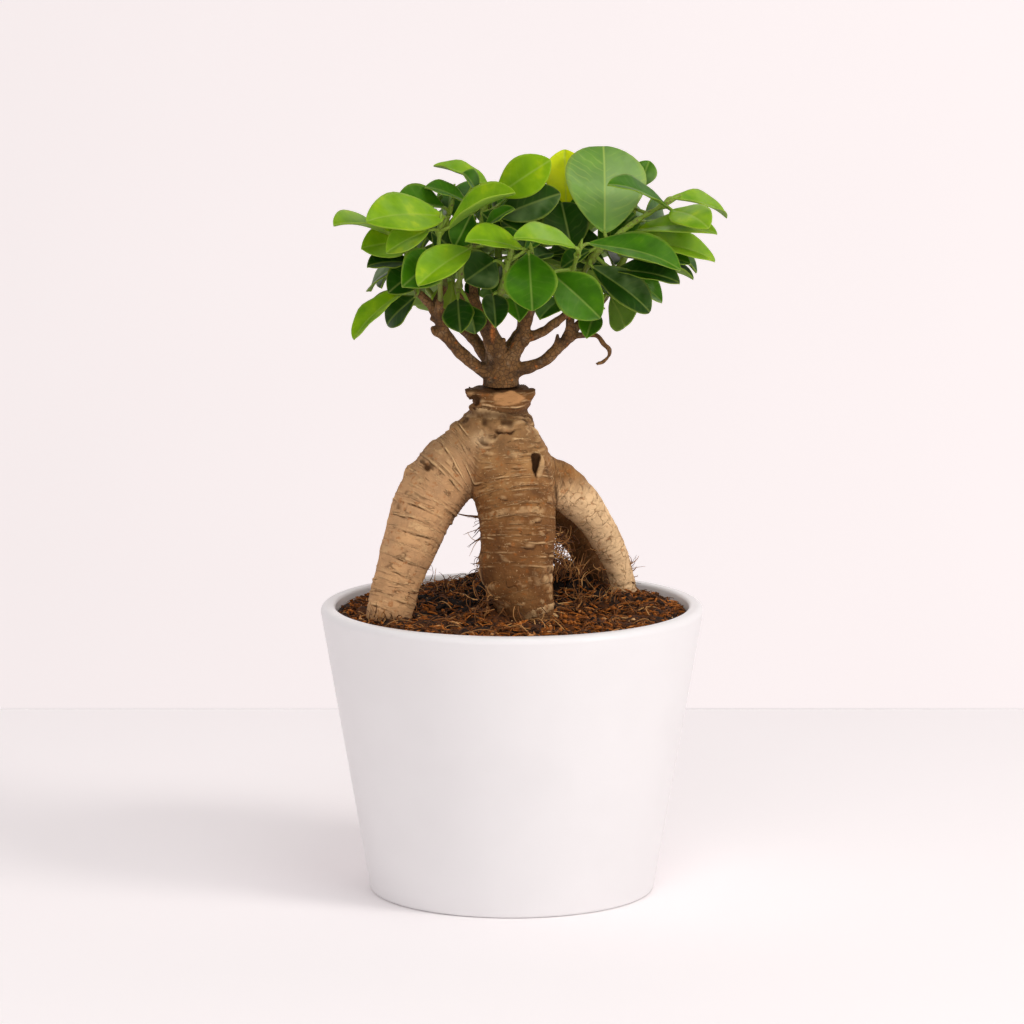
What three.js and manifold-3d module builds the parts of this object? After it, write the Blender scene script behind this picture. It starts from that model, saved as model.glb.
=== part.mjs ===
// A ginseng ficus: a small fig grafted on swollen aerial roots, in a plain white glazed pot.
// Millimetres, +Z up. The origin is the centre of the pot's underside, and the plant's front looks along -Y.

import * as THREE from "three";
import { mergeVertices } from "three/addons/utils/BufferGeometryUtils.js";
import Module from "manifold-3d";

const wasm = await Module();
wasm.setup();

const SHORTEST_EDGE = 0.02;

// Pot
const RIM_RADIUS = 70;
const POT_HEIGHT = 106;
const FOOT_RADIUS = 52.3;
const WALL = 5.4;
const FLOOR = 7;
const RIM_ROUND = 2.4;
const INNER_ROUND = 1.4;
const FOOT_ROUND = 1.4;
const FLOOR_ROUND = 4;
const POT_SIDES = 60;
// The wall leans out by about this many degrees.
const WALL_LEAN = 8;

// Soil
const SEAT_GAP = 0.3;
const SOIL_WALL_GAP = 0.5;
const SOIL_FOOT_BEVEL = 4;
const SOIL_EDGE_Z = 103.6;
const SOIL_EDGE_FADE = 14;
const SOIL_RINGS = 8;
const SOIL_SIDES = 36;
const BROAD_LUMPS = { height: 0.9, wide: 5.1, deep: 6.3 };
const SMALL_LUMPS = { height: 0.6, wide: 7.9, deep: 3.7 };
const SOCKET_CLEARANCE = 0.9;
const HOLE_SIDES = 14;
const HOLE_BANDS = 10;
const BURIED_ROWS = 4;

// Root stock
const STOCK_CELL = 4.35;
const STOCK_BLEND = 4.5;
const KNOT_BLEND = 2.2;
const HOLLOW_BLEND = 1.2;
const PRUNED_BLEND = 1;
const ROOT_STEPS = 3;
const CUT_TOP_Z = 186;
const ROOT_DEPTH_Z = 92;

// Grafted wood and shoots
const GRAFT_GAP = 0.3;
const WOOD_SIDES = 8;
const SNAG_SIDES = 5;
const TWIG_SIDES = 5;
const TWIG_RADIUS = 1.15;
const TWIG_TIP_RADIUS = 0.7;
const TWIG_START = 1.5;
const LIMB_SIDE = new THREE.Vector3(1, 0.3, 0.1);

// Leaves
const MIDRIB_THICKNESS = 1.4;
const STALK_RADIUS = 0.65;
const PETIOLE_LENGTH = 6;
const SHORTEST_STALK = 3.2;
const LEAF_ARCH = 0.05;
const LEAF_FOLD = 0.2;
// These powers set where along a blade it is widest, and how full it stays towards its ends.
const BLADE_FULLEST = 1.22;
const BLADE_FULLNESS = 0.72;
const BLADE_STATIONS = [
  { widerThan: 16.5, at: [0.08, 0.27, 0.5, 0.73, 0.91] },
  { widerThan: 13, at: [0.12, 0.38, 0.66, 0.89] },
  { widerThan: 0, at: [0.16, 0.52, 0.85] },
];

// The leaves seen from the front keep clear of each other, mostly by moving in depth.
const CLEARING_ROUNDS = 80;
const CLEAR_GAP = 2.2;
const CLEAR_REACH = 4;
const TWIG_REACH = 2.8;
const CLEAR_STEP = 0.6;
const ROLL_STEP = 0.3;
const NEAR_LEAVES = 6;
const NEAR_TWIGS = 40;
// Leaves of one shoot may meet near their stalks, up to this share of their length.
const SHARED_FOOT = 0.15;
const TWIG_FOOT = 0.2;
const SEEN_MOVES = new THREE.Vector3(0.25, 1, 0.25);
const SEEN_DRIFT = new THREE.Vector3(2.5, 12, 2.5);
const SEEN_ROLL = 0.2;
const SPREAD_U = [0.06, 0.18, 0.3, 0.42, 0.54, 0.66, 0.78, 0.9, 1];
const SPREAD_V = [-0.96, -0.64, -0.32, 0, 0.32, 0.64, 0.96];

// The other leaves grow where the crown is least crowded; one that finds less room than this isn't there.
const LEAST_ROOM = 2.6;
const ROOM_FOOT = 0.1;
const ROOM_LEAVES = 34;
const ROOM_TWIGS = 20;
const FIRST_FOOT = 0.3;
const OTHER_LENGTHS = [20, 27];
const OTHER_WIDTHS = [0.55, 0.68];
const BEARINGS = 16;
const RISES = [-32, -10, 12, 34];
const SIZES = [1, 0.76, 0.58];
const FIRST_SEED = 1000;
const SEED_STEP = 77;
const DRAW_FACTOR = 16807;
const DRAW_RANGE = 2147483647;
// Their faces lean this much away from the crown's middle, for each part that they look up.
const OUTWARD_LEAN = 0.9;
// A place is crowded by the leaves whose middles lie within about this distance.
const CROWDING_REACH = 7;
// Their tips end inside a rounded crown, above its base and behind the leaves seen in front.
const CROWN_MIDDLE = [8, 12, 205];
const CROWN_REACH = [66, 56, 60];
const CROWN_BASE = 206;
const CROWN_FRONT = -16;

const COLOURS = {
  glaze: { color: 0xf1eff0, roughness: 0.35 },
  peat: { color: 0x4a2f1c, roughness: 1 },
  rootBark: { color: 0xa87c50, roughness: 0.85 },
  twigBark: { color: 0x5f4530, roughness: 0.85 },
  leaf: { color: 0x5c9a14, roughness: 0.35 },
};

// Each root is a chain of points with its radius there, from the body down into the soil.
const BODY = [
  [-3.8, 0, 183, 10.8],
  [-4.2, 0, 176, 10.4],
  [-5.5, -1, 168, 13.5],
  [-2, -4, 158, 14.5],
];
const ROOTS = {
  left: [
    [-9, -1, 163, 12],
    [-22, -4, 156.5, 12.2],
    [-31, -7, 145, 11.8],
    [-36.5, -11, 131, 10.3],
    [-41.5, -14, 117, 8.6],
    [-44.5, -16, 106, 8.3],
    [-46, -17, ROOT_DEPTH_Z, 6.5],
  ],
  centre: [
    [-1, -5, 158, 15],
    [1.5, -10, 145, 14.2],
    [2, -13, 134, 13.6],
    [1.6, -15, 122, 13.2],
    [4.5, -17, 111, 10.6],
    [7, -18, 103, 8],
    [8, -18, ROOT_DEPTH_Z, 6.5],
  ],
  right: [
    [4, 0, 152, 9.5],
    [17, 1, 150, 8.6],
    [27, 4, 140.5, 7],
    [34, 8, 129.5, 5.8],
    [39, 11, 118, 4.8],
    [41.3, 12, 108, 4.6],
    [42, 12, ROOT_DEPTH_Z, 4],
  ],
  back: [
    [0, 4, 158, 12],
    [8, 15, 146, 9.5],
    [20, 22, 133, 7.5],
    [28, 25, 121, 6.2],
    [31, 26, 109, 6],
    [32, 26, ROOT_DEPTH_Z, 4.5],
  ],
};
// Heaps of soil against the roots: centre, height and spread.
const MOUNDS = [
  [-2, 14, 10.5, 26],
  [24, 24, 9, 13],
  [46, 2, 5, 15],
];
// Knots and scars that stand out of the root stock: a point and a radius.
const KNOTS = [
  [-2, -10.6, 172.5, 3.4],
  [-18.5, -3, 169.5, 3.6],
  [-14.2, -4, 185, 2],
  [6, -3, 184.6, 2.2],
  [3.4, -9, 172, 2],
  [9.6, -13.6, 160, 2.4],
  [-46.5, -19.5, 106, 5],
];
// An old branch scar on the front: an upright hollow, narrower than it is long.
const SCAR_HOLLOW = { at: [7.4, -17, 159.8], radius: 2.9, narrowing: 1.5, stretch: 2 };
// The pruned face on the front of the stock: a point on it and the way it looks.
const PRUNED_FACE = { at: [-2, -8.6, 182.5], looks: [0.05, -0.86, 0.5] };

// The grafted wood: limbs are chains of points with radii.
// Each shoot stands on the end of the limb that it is named for.
const GRAFT_FOOT = [-4, 1.5, CUT_TOP_Z + GRAFT_GAP];
const LIMBS = {
  neck: [[...GRAFT_FOOT, 6.8], [-4, 1.5, 189.5, 5.9], [-4.4, 1.2, 194, 5.2]],
  leftMain: [
    [-6, 0.5, 190.5, 3.4],
    [-11.6, -1, 193, 2.5],
    [-16.3, -2.5, 196.9, 2.3],
    [-21.2, -4, 202, 2.2],
    [-24.3, -5, 206.6, 2],
    [-26, -6, 211.5, 1.9],
    [-28.7, -7, 216, 1.7],
    [-33, -9, 221, 1.5],
  ],
  leftFront: [[-26, -6, 211, 1.7], [-26.5, -9.5, 215, 1.5], [-26, -12, 219, 1.4]],
  leftBack: [[-28.2, -6.8, 214.8, 1.6], [-27, -3.5, 218.5, 1.5], [-25, -1, 222, 1.4]],
  stem: [
    [-4.8, 1, 192, 5],
    [-5.2, 0.8, 196.5, 4.4],
    [-6.2, 0, 201.2, 3.7],
    [-8.8, -1, 207.4, 2.9],
    [-11.6, -2, 213.3, 2.4],
    [-14.3, -3, 217.5, 1.9],
    [-18.5, -6, 221, 1.5],
  ],
  stemTop: [[-13.4, -2.6, 216, 1.9], [-14, -0.5, 222, 1.7], [-14, 2, 230, 1.5]],
  stemBack: [[-9.2, -1, 208.5, 2.2], [-6.5, 5, 215, 1.8], [-5, 10, 223, 1.5]],
  stemFront: [[-8.4, -1.2, 206.5, 2.1], [-6, -6, 213, 1.6], [-4.5, -10, 219, 1.4]],
  centre: [
    [-1.6, 0.2, 192.5, 3.6],
    [0.8, -1, 198.7, 2.7],
    [3.5, -2, 204.9, 2.3],
    [5.1, -3, 209.6, 2],
    [6.3, -5, 214, 1.7],
    [7, -7, 219, 1.5],
  ],
  centreTop: [[5.2, -3.2, 210, 1.8], [6, 0.5, 217, 1.6], [6, 4, 226, 1.5]],
  centreRight: [
    [3.2, -1.8, 203.8, 2.1],
    [10.8, -4, 206.7, 1.7],
    [14.8, -6, 209.8, 1.6],
    [19.3, -8, 213.4, 1.5],
    [22, -10, 217, 1.4],
  ],
  right: [
    [-1.2, 0.4, 191, 3.6],
    [2.8, -0.5, 192.6, 2.7],
    [7.1, -1, 193.8, 2.3],
    [11.9, -1, 196.1, 2.1],
    [17.3, 0, 200.9, 2],
    [20.8, 0.6, 205, 1.8],
    [21.2, -1, 213, 1.5],
    [22, -1, 220, 1.4],
  ],
  rightOuter: [[20.6, 0.6, 204.4, 1.8], [26.6, 4, 211.2, 1.5], [33, 7, 217, 1.4]],
  backRight: [
    [-3.6, 3, 191, 3.4],
    [-2.4, 9, 197, 2.4],
    [3, 17, 204, 2.1],
    [6.4, 24, 210, 1.7],
    [10, 30, 216, 1.5],
  ],
  backTop: [[4, 18.5, 205.4, 1.9], [3.4, 22, 212, 1.6], [2, 24, 218, 1.4]],
  backLeft: [
    [-5.6, 3, 192, 3.2],
    [-12.6, 10, 200.6, 2.2],
    [-20.4, 16, 208.4, 1.8],
    [-28, 20, 216, 1.5],
  ],
  backLeftTop: [[-17.6, 14, 205.6, 1.8], [-17.4, 18, 212, 1.6], [-16, 22, 218, 1.4]],
};
// Pruned stubs and the dead twig that curls down on the right.
const SNAGS = [
  [[-24.6, -5, 205, 1.4], [-27.6, -5.4, 206.4, 1.1], [-28.6, -5.6, 208.2, 1]],
  [[-26.6, -6, 211.4, 1.4], [-29.2, -6.6, 211.8, 0.8]],
  [[-4.4, -2, 198.8, 1.8], [-3.1, -3, 203.6, 0.9]],
  [[2.2, -2, 200.6, 1.8], [5.4, -4, 202.6, 0.8]],
  [[16.6, -0.4, 200.6, 1.4], [16.6, -1.8, 205.2, 0.8]],
  [[-14.6, -3, 217.4, 1.4], [-17.6, -3.4, 218.6, 1.3]],
  [
    [20.4, 0.6, 204.4, 1.6],
    [24, -0.4, 205, 1.2],
    [30.5, -2, 205.3, 0.95],
    [33.1, -3, 202.6, 0.85],
    [35.4, -3, 200.2, 0.95],
    [35.1, -3, 198, 0.7],
    [33.1, -2, 195.6, 0.6],
    [30.9, -2, 194.9, 0.45],
  ],
];

// A shoot continues the limb it is named for. It carries the leaves the front view shows beside it,
// and as many others as find room, up to a number.
const SHOOTS = {
  leftMain: { path: [[-35, -9, 227], [-37, -8.5, 234], [-39.5, -8, 241]], others: 5 },
  leftFront: { path: [[-26, -16, 228], [-26.5, -18.5, 237], [-26, -18, 245]], others: 6 },
  leftBack: { path: [[-26, 1, 232], [-25, 1, 242], [-23, -0.5, 249]], others: 9 },
  stem: { path: [[-18.5, -9, 228], [-17, -12.5, 236], [-15.5, -13, 245]], others: 9 },
  stemTop: { path: [[-12.5, 0.5, 240], [-10.5, -2.5, 249], [-8.5, -4, 255]], others: 10 },
  stemBack: { path: [[-5, 14, 233], [-4, 16, 244]], others: 10 },
  stemFront: { path: [[-3, -14, 227], [-1, -18, 235]], others: 7 },
  centre: { path: [[7.5, -13, 227], [7, -20, 236]], others: 6 },
  centreTop: { path: [[8, 4.5, 236], [12, 5, 246]], others: 11 },
  centreRight: { path: [[21, -13.5, 224], [22, -18.5, 231], [23.5, -22, 237]], others: 5 },
  right: {
    path: [[26, -6, 229], [31, -11, 237], [38, -11.5, 243], [46, -9, 248.5], [55, -6.5, 253.5]],
    others: 8,
  },
  rightOuter: { path: [[37, 7, 225], [41, 5, 233], [43.5, 5, 242], [44.5, 6.5, 251]], others: 10 },
  backRight: { path: [[14, 35, 225], [17, 37, 235]], others: 8 },
  backTop: { path: [[1, 27, 230], [2, 27, 243]], others: 9 },
  backLeft: { path: [[-35, 23, 225], [-39, 24, 235]], others: 8 },
  backLeftTop: { path: [[-17, 25, 229], [-17, 24, 242]], others: 9 },
};
// The leaves the front view shows: stalk end of the blade, tip, width,
// and the degrees its face leans from straight up to straight forward.
const SEEN_LEAVES = [
  [[-45.6, -8, 243.4], [-65.5, -12, 245.4], 15, 30],
  [[-24.1, -14, 249.9], [-54.4, -24, 248.0], 19, 36],
  [[-24.2, -3, 252.0], [-42.3, -9, 253.6], 13, 34],
  [[-16.1, -2, 253.6], [-31.5, -5, 259.5], 10, 25],
  [[-7.9, -2, 258.8], [-25.9, -7, 269.0], 11, 22],
  [[-12.4, -7, 257.3], [-20.3, -10, 263.3], 9, 50],
  [[-22.6, -21, 246.6], [-1.1, -15, 257.4], 16, 28],
  [[-5.6, -8, 256.8], [14.2, -4, 269.2], 15, 65],
  [[19.7, 6, 251.8], [19.1, 10, 271.8], 16, 80],
  [[33.3, -13, 243.7], [32.7, -5, 275.8], 30, 84],
  [[46.0, 8, 257.9], [50.0, 11, 267.5], 9, 80],
  [[56.5, -9, 252.7], [33.6, -19, 261.5], 14, 38],
  [[57.1, -6, 256.0], [78.0, -7, 250.1], 13, 32],
  [[57.4, -8, 251.7], [70.2, -18, 245.0], 14, 60],
  [[42.3, -3, 243.6], [72.2, -9, 242.0], 13, 18],
  [[37.2, -11, 241.1], [73.3, -14, 234.6], 13, 22],
  [[27.0, -20, 240.9], [60.2, -31, 232.5], 17, 26],
  [[39.1, -4, 234.7], [64.4, -12, 230.6], 13, 24],
  [[37.2, -12, 230.2], [60.2, -19, 228.3], 13, 22],
  [[28.6, -14, 231.8], [50.2, -25, 217.5], 14, 38],
  [[37.4, 2, 226.7], [54.1, -6, 218.7], 12, 45],
  [[32.9, 0, 224.2], [43.6, -8, 217.0], 12, 50],
  [[36.0, 3, 219.0], [38.5, -7, 207.0], 12, -70],
  [[14.7, -22, 230.0], [31.7, -29, 215.0], 17, 72],
  [[6.0, -26, 238.2], [7.3, -37, 218.7], 19.5, 76],
  [[-6.1, -12, 233.8], [-15.9, -20, 228.5], 16, 70],
  [[23.1, -27, 240.1], [0.5, -38, 244.8], 13, 32],
  [[4.0, -24, 239.4], [-16.7, -34, 243.4], 14, 34],
  [[21.9, -8, 236.1], [17.9, -1, 253.6], 18, 80],
  [[-4.7, -7, 249.1], [17.5, -9, 257.8], 14, 60],
  [[-15.0, -20, 238.9], [-33.5, -36, 227.5], 15, 44],
  [[-25.9, -14, 235.9], [-37.3, -24, 228.0], 16, 65],
  [[-36.3, -8, 232.4], [-52.3, -15, 231.9], 12, 20],
  [[-34.1, -8, 229.7], [-43.0, -14, 224.8], 12, 50],
  [[-38.2, -10, 223.1], [-56.6, -20, 206.9], 11, 30],
  [[-34.5, -12.5, 221.0], [-45.6, -17, 211.8], 11, 45],
  [[-29.4, -22, 246.0], [-45.0, -28, 238.8], 11, 38],
  [[-36.9, -2, 239.0], [-53.5, -6, 235.8], 14, 50],
  [[-21.6, 6, 224.4], [-22.5, 0, 214.5], 14, -60],
  [[-8.9, 4, 223.7], [-9.0, -2, 216.0], 10, 80],
  [[-19.5, -11.5, 220.0], [-20.3, -18, 210.0], 12, 75],
  [[-15.5, -11, 217.5], [-13.3, -17, 207.8], 10, 75],
  [[-7.0, -13, 221.5], [-5.6, -18, 209.4], 10, 80],
  [[0.2, -9, 220.0], [2.0, -15, 210.8], 10, 70],
  [[17.4, -4, 218.7], [7.6, -13, 215.4], 11, 40],
  [[30.5, 1, 214.0], [29.5, -3, 205.7], 9, 80],
  [[-14.5, -13.5, 251.0], [-20.5, -19, 241.0], 11, 65],
  [[-3.5, 0, 240.0], [-11.5, -5, 251.0], 12, 60],
  [[-18.5, -2, 233.0], [-29.0, -7, 243.5], 13, 60],
  [[9.5, 0, 232.0], [0.5, -5, 241.5], 13, 60],
];

const vec = ([x, y, z]) => new THREE.Vector3(x, y, z);
const mix = THREE.MathUtils.lerp;
const radians = THREE.MathUtils.degToRad;

// Points along a smooth curve through a chain of [x, y, z] or [x, y, z, radius] rows, ends included.
function alongChain(chain, stepsPerSpan) {
  const at = (i) => chain[Math.min(Math.max(i, 0), chain.length - 1)];
  const points = [chain[0]];
  for (let span = 0; span < chain.length - 1; span++) {
    for (let step = 1; step <= stepsPerSpan; step++) {
      const t = step / stepsPerSpan;
      points.push(at(span).map((_, axis) => {
        const [a, b, c, d] = [at(span - 1)[axis], at(span)[axis], at(span + 1)[axis], at(span + 2)[axis]];
        const square = (2 * a - 5 * b + 4 * c - d) * t * t;
        const cube = (3 * b - a - 3 * c + d) * t ** 3;
        return 0.5 * (2 * b + (c - a) * t + square + cube);
      }));
    }
  }
  return points;
}

// A closed triangle list as a solid that manifold-3d can join and cut.
function solidFrom(positions, triangles) {
  return new wasm.Manifold(new wasm.Mesh({
    numProp: 3,
    vertProperties: new Float32Array(positions.flat()),
    triVerts: new Uint32Array(triangles.flat()),
  }));
}

// A closed three.js geometry as a solid.
function solidOf(geometry) {
  const bare = geometry.index ? geometry.toNonIndexed() : geometry.clone();
  bare.deleteAttribute("normal");
  bare.deleteAttribute("uv");
  const merged = mergeVertices(bare, 1e-4);
  return new wasm.Manifold(new wasm.Mesh({
    numProp: 3,
    vertProperties: merged.attributes.position.array,
    triVerts: new Uint32Array(merged.index.array),
  }));
}

// A solid as a named mesh with its finish.
function meshOf(name, solid, finish) {
  const { vertProperties, triVerts, numProp } = solid.getMesh();
  const positions = new Float32Array((vertProperties.length / numProp) * 3);
  for (let i = 0; i < positions.length / 3; i++) {
    positions.set(vertProperties.subarray(i * numProp, i * numProp + 3), i * 3);
  }
  const geometry = new THREE.BufferGeometry();
  geometry.setAttribute("position", new THREE.BufferAttribute(positions, 3));
  geometry.setIndex(new THREE.BufferAttribute(new Uint32Array(triVerts), 1));
  geometry.computeVertexNormals();
  const mesh = new THREE.Mesh(geometry, new THREE.MeshStandardMaterial({ metalness: 0, ...finish }));
  mesh.name = name;
  return mesh;
}

// The largest of the bodies in a solid, without loose scraps and without edges too short to make.
function mainBody(solid) {
  const largest = solid.decompose().sort((a, b) => b.volume() - a.volume())[0];
  return largest.asOriginal().simplify(SHORTEST_EDGE);
}

// Rings of points joined into a tube and closed at both ends, the last end flat or by one more point.
function loft(rings, closesToPoint) {
  const sides = rings[0].length;
  const positions = rings.flat();
  const triangles = [];
  for (let ring = 0; ring < rings.length - 1; ring++) {
    for (let side = 0; side < sides; side++) {
      const next = (side + 1) % sides;
      const [a, b] = [ring * sides + side, ring * sides + next];
      triangles.push([a, b, a + sides], [b, b + sides, a + sides]);
    }
  }
  for (let side = 1; side < sides - 1; side++) triangles.push([0, side + 1, side]);
  const last = (rings.length - 1) * sides;
  if (closesToPoint) {
    positions.push(closesToPoint);
    for (let side = 0; side < sides; side++) {
      triangles.push([last + side, last + ((side + 1) % sides), positions.length - 1]);
    }
  } else {
    for (let side = 1; side < sides - 1; side++) triangles.push([last, last + side, last + side + 1]);
  }
  return solidFrom(positions, triangles);
}

// A round limb along a chain of [x, y, z, radius] rows, with flat ends square to it.
function limb(chain, sides, stepsPerSpan) {
  const path = alongChain(chain, stepsPerSpan);
  let side = null;
  const rings = path.map((row, i) => {
    const ahead = vec(path[Math.min(i + 1, path.length - 1)]);
    const along = ahead.sub(vec(path[Math.max(i - 1, 0)])).normalize();
    if (!side) side = LIMB_SIDE.clone().cross(along).normalize();
    side = side.clone().addScaledVector(along, -side.dot(along)).normalize();
    const other = along.clone().cross(side);
    return Array.from({ length: sides }, (_, k) => {
      const angle = (k / sides) * 2 * Math.PI;
      return vec(row)
        .addScaledVector(side, row[3] * Math.cos(angle))
        .addScaledVector(other, row[3] * Math.sin(angle))
        .toArray();
    });
  });
  return loft(rings, null);
}

// The pot: one turned profile, from the flat underside round the wall and rim to the inner floor.
function pot() {
  const arc = (cx, cz, radius, from, to, steps) =>
    Array.from({ length: steps + 1 }, (_, i) => {
      const angle = radians(mix(from, to, i / steps));
      return new THREE.Vector2(cx + radius * Math.cos(angle), cz + radius * Math.sin(angle));
    });
  const innerRim = RIM_RADIUS - WALL;
  const innerFoot = innerRadius(FLOOR + FLOOR_ROUND) - FLOOR_ROUND;
  const [down, up, outward, inward] = [-90, 90, -WALL_LEAN, 180 - WALL_LEAN];
  const profile = [
    new THREE.Vector2(0, 0),
    ...arc(FOOT_RADIUS - FOOT_ROUND, FOOT_ROUND, FOOT_ROUND, down, outward, 2),
    ...arc(RIM_RADIUS - RIM_ROUND, POT_HEIGHT - RIM_ROUND, RIM_ROUND, outward, up, 4),
    ...arc(innerRim + INNER_ROUND, POT_HEIGHT - INNER_ROUND, INNER_ROUND, up, inward, 2),
    ...arc(innerFoot, FLOOR + FLOOR_ROUND, FLOOR_ROUND, outward, down, 1),
    new THREE.Vector2(0, FLOOR),
  ];
  return solidOf(new THREE.LatheGeometry(profile, POT_SIDES).rotateX(Math.PI / 2));
}

// The pot's inner wall radius at a height.
function innerRadius(z) {
  return mix(FOOT_RADIUS, RIM_RADIUS, z / POT_HEIGHT) - WALL;
}

// Height of the soil's surface, mounded over the root ball, with soft lumps that die out at the pot's wall.
function soilHeight(x, y) {
  const heap = MOUNDS.reduce((sum, [mx, my, height, spread]) =>
    sum + height * Math.exp(-(((x - mx) ** 2 + (y - my) ** 2) / spread ** 2)), 0);
  const inside = innerRadius(SOIL_EDGE_Z) - Math.hypot(x, y);
  const edge = Math.min(1, Math.max(0, inside / SOIL_EDGE_FADE));
  const broad = BROAD_LUMPS.height * Math.sin(x / BROAD_LUMPS.wide + 1) * Math.cos(y / BROAD_LUMPS.deep);
  const small = SMALL_LUMPS.height * Math.sin(y / SMALL_LUMPS.deep - x / SMALL_LUMPS.wide);
  return SOIL_EDGE_Z + edge * (heap + (broad + small));
}

// The soil's own body, before the roots grow through it.
function soilBody() {
  const bottom = FLOOR + SEAT_GAP;
  const bevelled = bottom + SOIL_FOOT_BEVEL;
  const ringAt = (radius, heightAt) =>
    Array.from({ length: SOIL_SIDES }, (_, k) => {
      const angle = (k / SOIL_SIDES) * 2 * Math.PI;
      const [x, y] = [radius * Math.cos(angle), radius * Math.sin(angle)];
      return [x, y, heightAt(x, y)];
    });
  const rings = [
    ringAt(innerRadius(bottom) - SOIL_WALL_GAP - SOIL_FOOT_BEVEL, () => bottom),
    ringAt(innerRadius(bevelled) - SOIL_WALL_GAP, () => bevelled),
  ];
  for (let ring = SOIL_RINGS; ring > 0; ring--) {
    rings.push(ringAt((innerRadius(SOIL_EDGE_Z) - SOIL_WALL_GAP) * (ring / SOIL_RINGS), soilHeight));
  }
  return loft(rings, [0, 0, soilHeight(0, 0)]);
}

// The soil: fills the pot to just under the rim, with a plain hole round each root,
// and round the foot of the left one.
function soil() {
  const holes = Object.values(ROOTS).map((chain) => {
    const buried = chain.slice(-BURIED_ROWS).map(([x, y, z, r]) => [x, y, z, r + SOCKET_CLEARANCE]);
    const below = [...buried.at(-1)];
    below[2] -= below[3];
    return limb([...buried, below], HOLE_SIDES, 2);
  });
  const [x, y, z, radius] = KNOTS[KNOTS.length - 1];
  const footHole = new THREE.SphereGeometry(radius + SOCKET_CLEARANCE, HOLE_SIDES, HOLE_BANDS);
  return mainBody(wasm.Manifold.difference([soilBody(), ...holes, solidOf(footHole.translate(x, y, z))]));
}

// Distance from a point to a tapering chain, less its radius there: negative inside.
function chainDistance(x, y, z, path) {
  let nearest = Infinity;
  for (let i = 0; i < path.length - 1; i++) {
    const [a, b] = [path[i], path[i + 1]];
    const [bx, by, bz] = [b[0] - a[0], b[1] - a[1], b[2] - a[2]];
    const [px, py, pz] = [x - a[0], y - a[1], z - a[2]];
    const t = Math.min(1, Math.max(0, (px * bx + py * by + pz * bz) / (bx * bx + by * by + bz * bz)));
    const gap = Math.hypot(px - t * bx, py - t * by, pz - t * bz) - mix(a[3], b[3], t);
    nearest = Math.min(nearest, gap);
  }
  return nearest;
}

// The smaller of two distances, rounded over where they meet.
function blended(a, b, width) {
  const overlap = Math.max(width - Math.abs(a - b), 0) / width;
  return Math.min(a, b) - (overlap * overlap * width) / 4;
}

// Distance to the root stock's skin: swollen roots that run together into one body under a pruned top.
const ROOT_PATHS = [BODY, ...Object.values(ROOTS)].map((chain) => alongChain(chain, ROOT_STEPS));
function stockDistance(x, y, z) {
  let distance = Infinity;
  for (const path of ROOT_PATHS) {
    const gap = chainDistance(x, y, z, path);
    distance = distance === Infinity ? gap : blended(distance, gap, STOCK_BLEND);
  }
  for (const [kx, ky, kz, radius] of KNOTS) {
    distance = blended(distance, Math.hypot(x - kx, y - ky, z - kz) - radius, KNOT_BLEND);
  }
  const { at: [sx, sy, sz], radius: hollow, narrowing, stretch } = SCAR_HOLLOW;
  const scar = Math.hypot(narrowing * (x - sx), y - sy, (z - sz) / stretch) - hollow;
  distance = -blended(-distance, scar, HOLLOW_BLEND);
  const { at, looks } = PRUNED_FACE;
  const pruned = (x - at[0]) * looks[0] + (y - at[1]) * looks[1] + (z - at[2]) * looks[2];
  return Math.max(-blended(-distance, -pruned, PRUNED_BLEND), z - CUT_TOP_Z);
}

// Calls visit(i, j, k) for every place of a grid from one count up to another, the first axis fastest.
function everyPlace(from, to, visit) {
  for (let k = from; k < to[2]; k++) {
    for (let j = from; j < to[1]; j++) {
      for (let i = from; i < to[0]; i++) visit(i, j, k);
    }
  }
}

// The eight corners of a grid cell, and the twelve edges between them.
const CELL_CORNERS = Array.from({ length: 8 }, (_, c) => [c & 1, (c >> 1) & 1, (c >> 2) & 1]);
const CELL_PAIRS = CELL_CORNERS.flatMap((a, from) => CELL_CORNERS.map((b, to) => [from, to]));
const CELL_EDGES = CELL_PAIRS.filter(([p, q]) =>
  p < q && CELL_CORNERS[p].reduce((sum, v, axis) => sum + Math.abs(v - CELL_CORNERS[q][axis]), 0) === 1);

// Where a skin passes through a cell, from 0 to 1 along each axis:
// the mean of the places where it crosses the cell's edges.
function crossingPoint(atCorners) {
  const sum = [0, 0, 0];
  let crossings = 0;
  for (const [p, q] of CELL_EDGES) {
    if (atCorners[p] < 0 === atCorners[q] < 0) continue;
    const t = atCorners[p] / (atCorners[p] - atCorners[q]);
    CELL_CORNERS[p].forEach((v, axis) => (sum[axis] += mix(v, CELL_CORNERS[q][axis], t)));
    crossings++;
  }
  return crossings ? sum.map((total) => total / crossings) : null;
}

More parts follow.
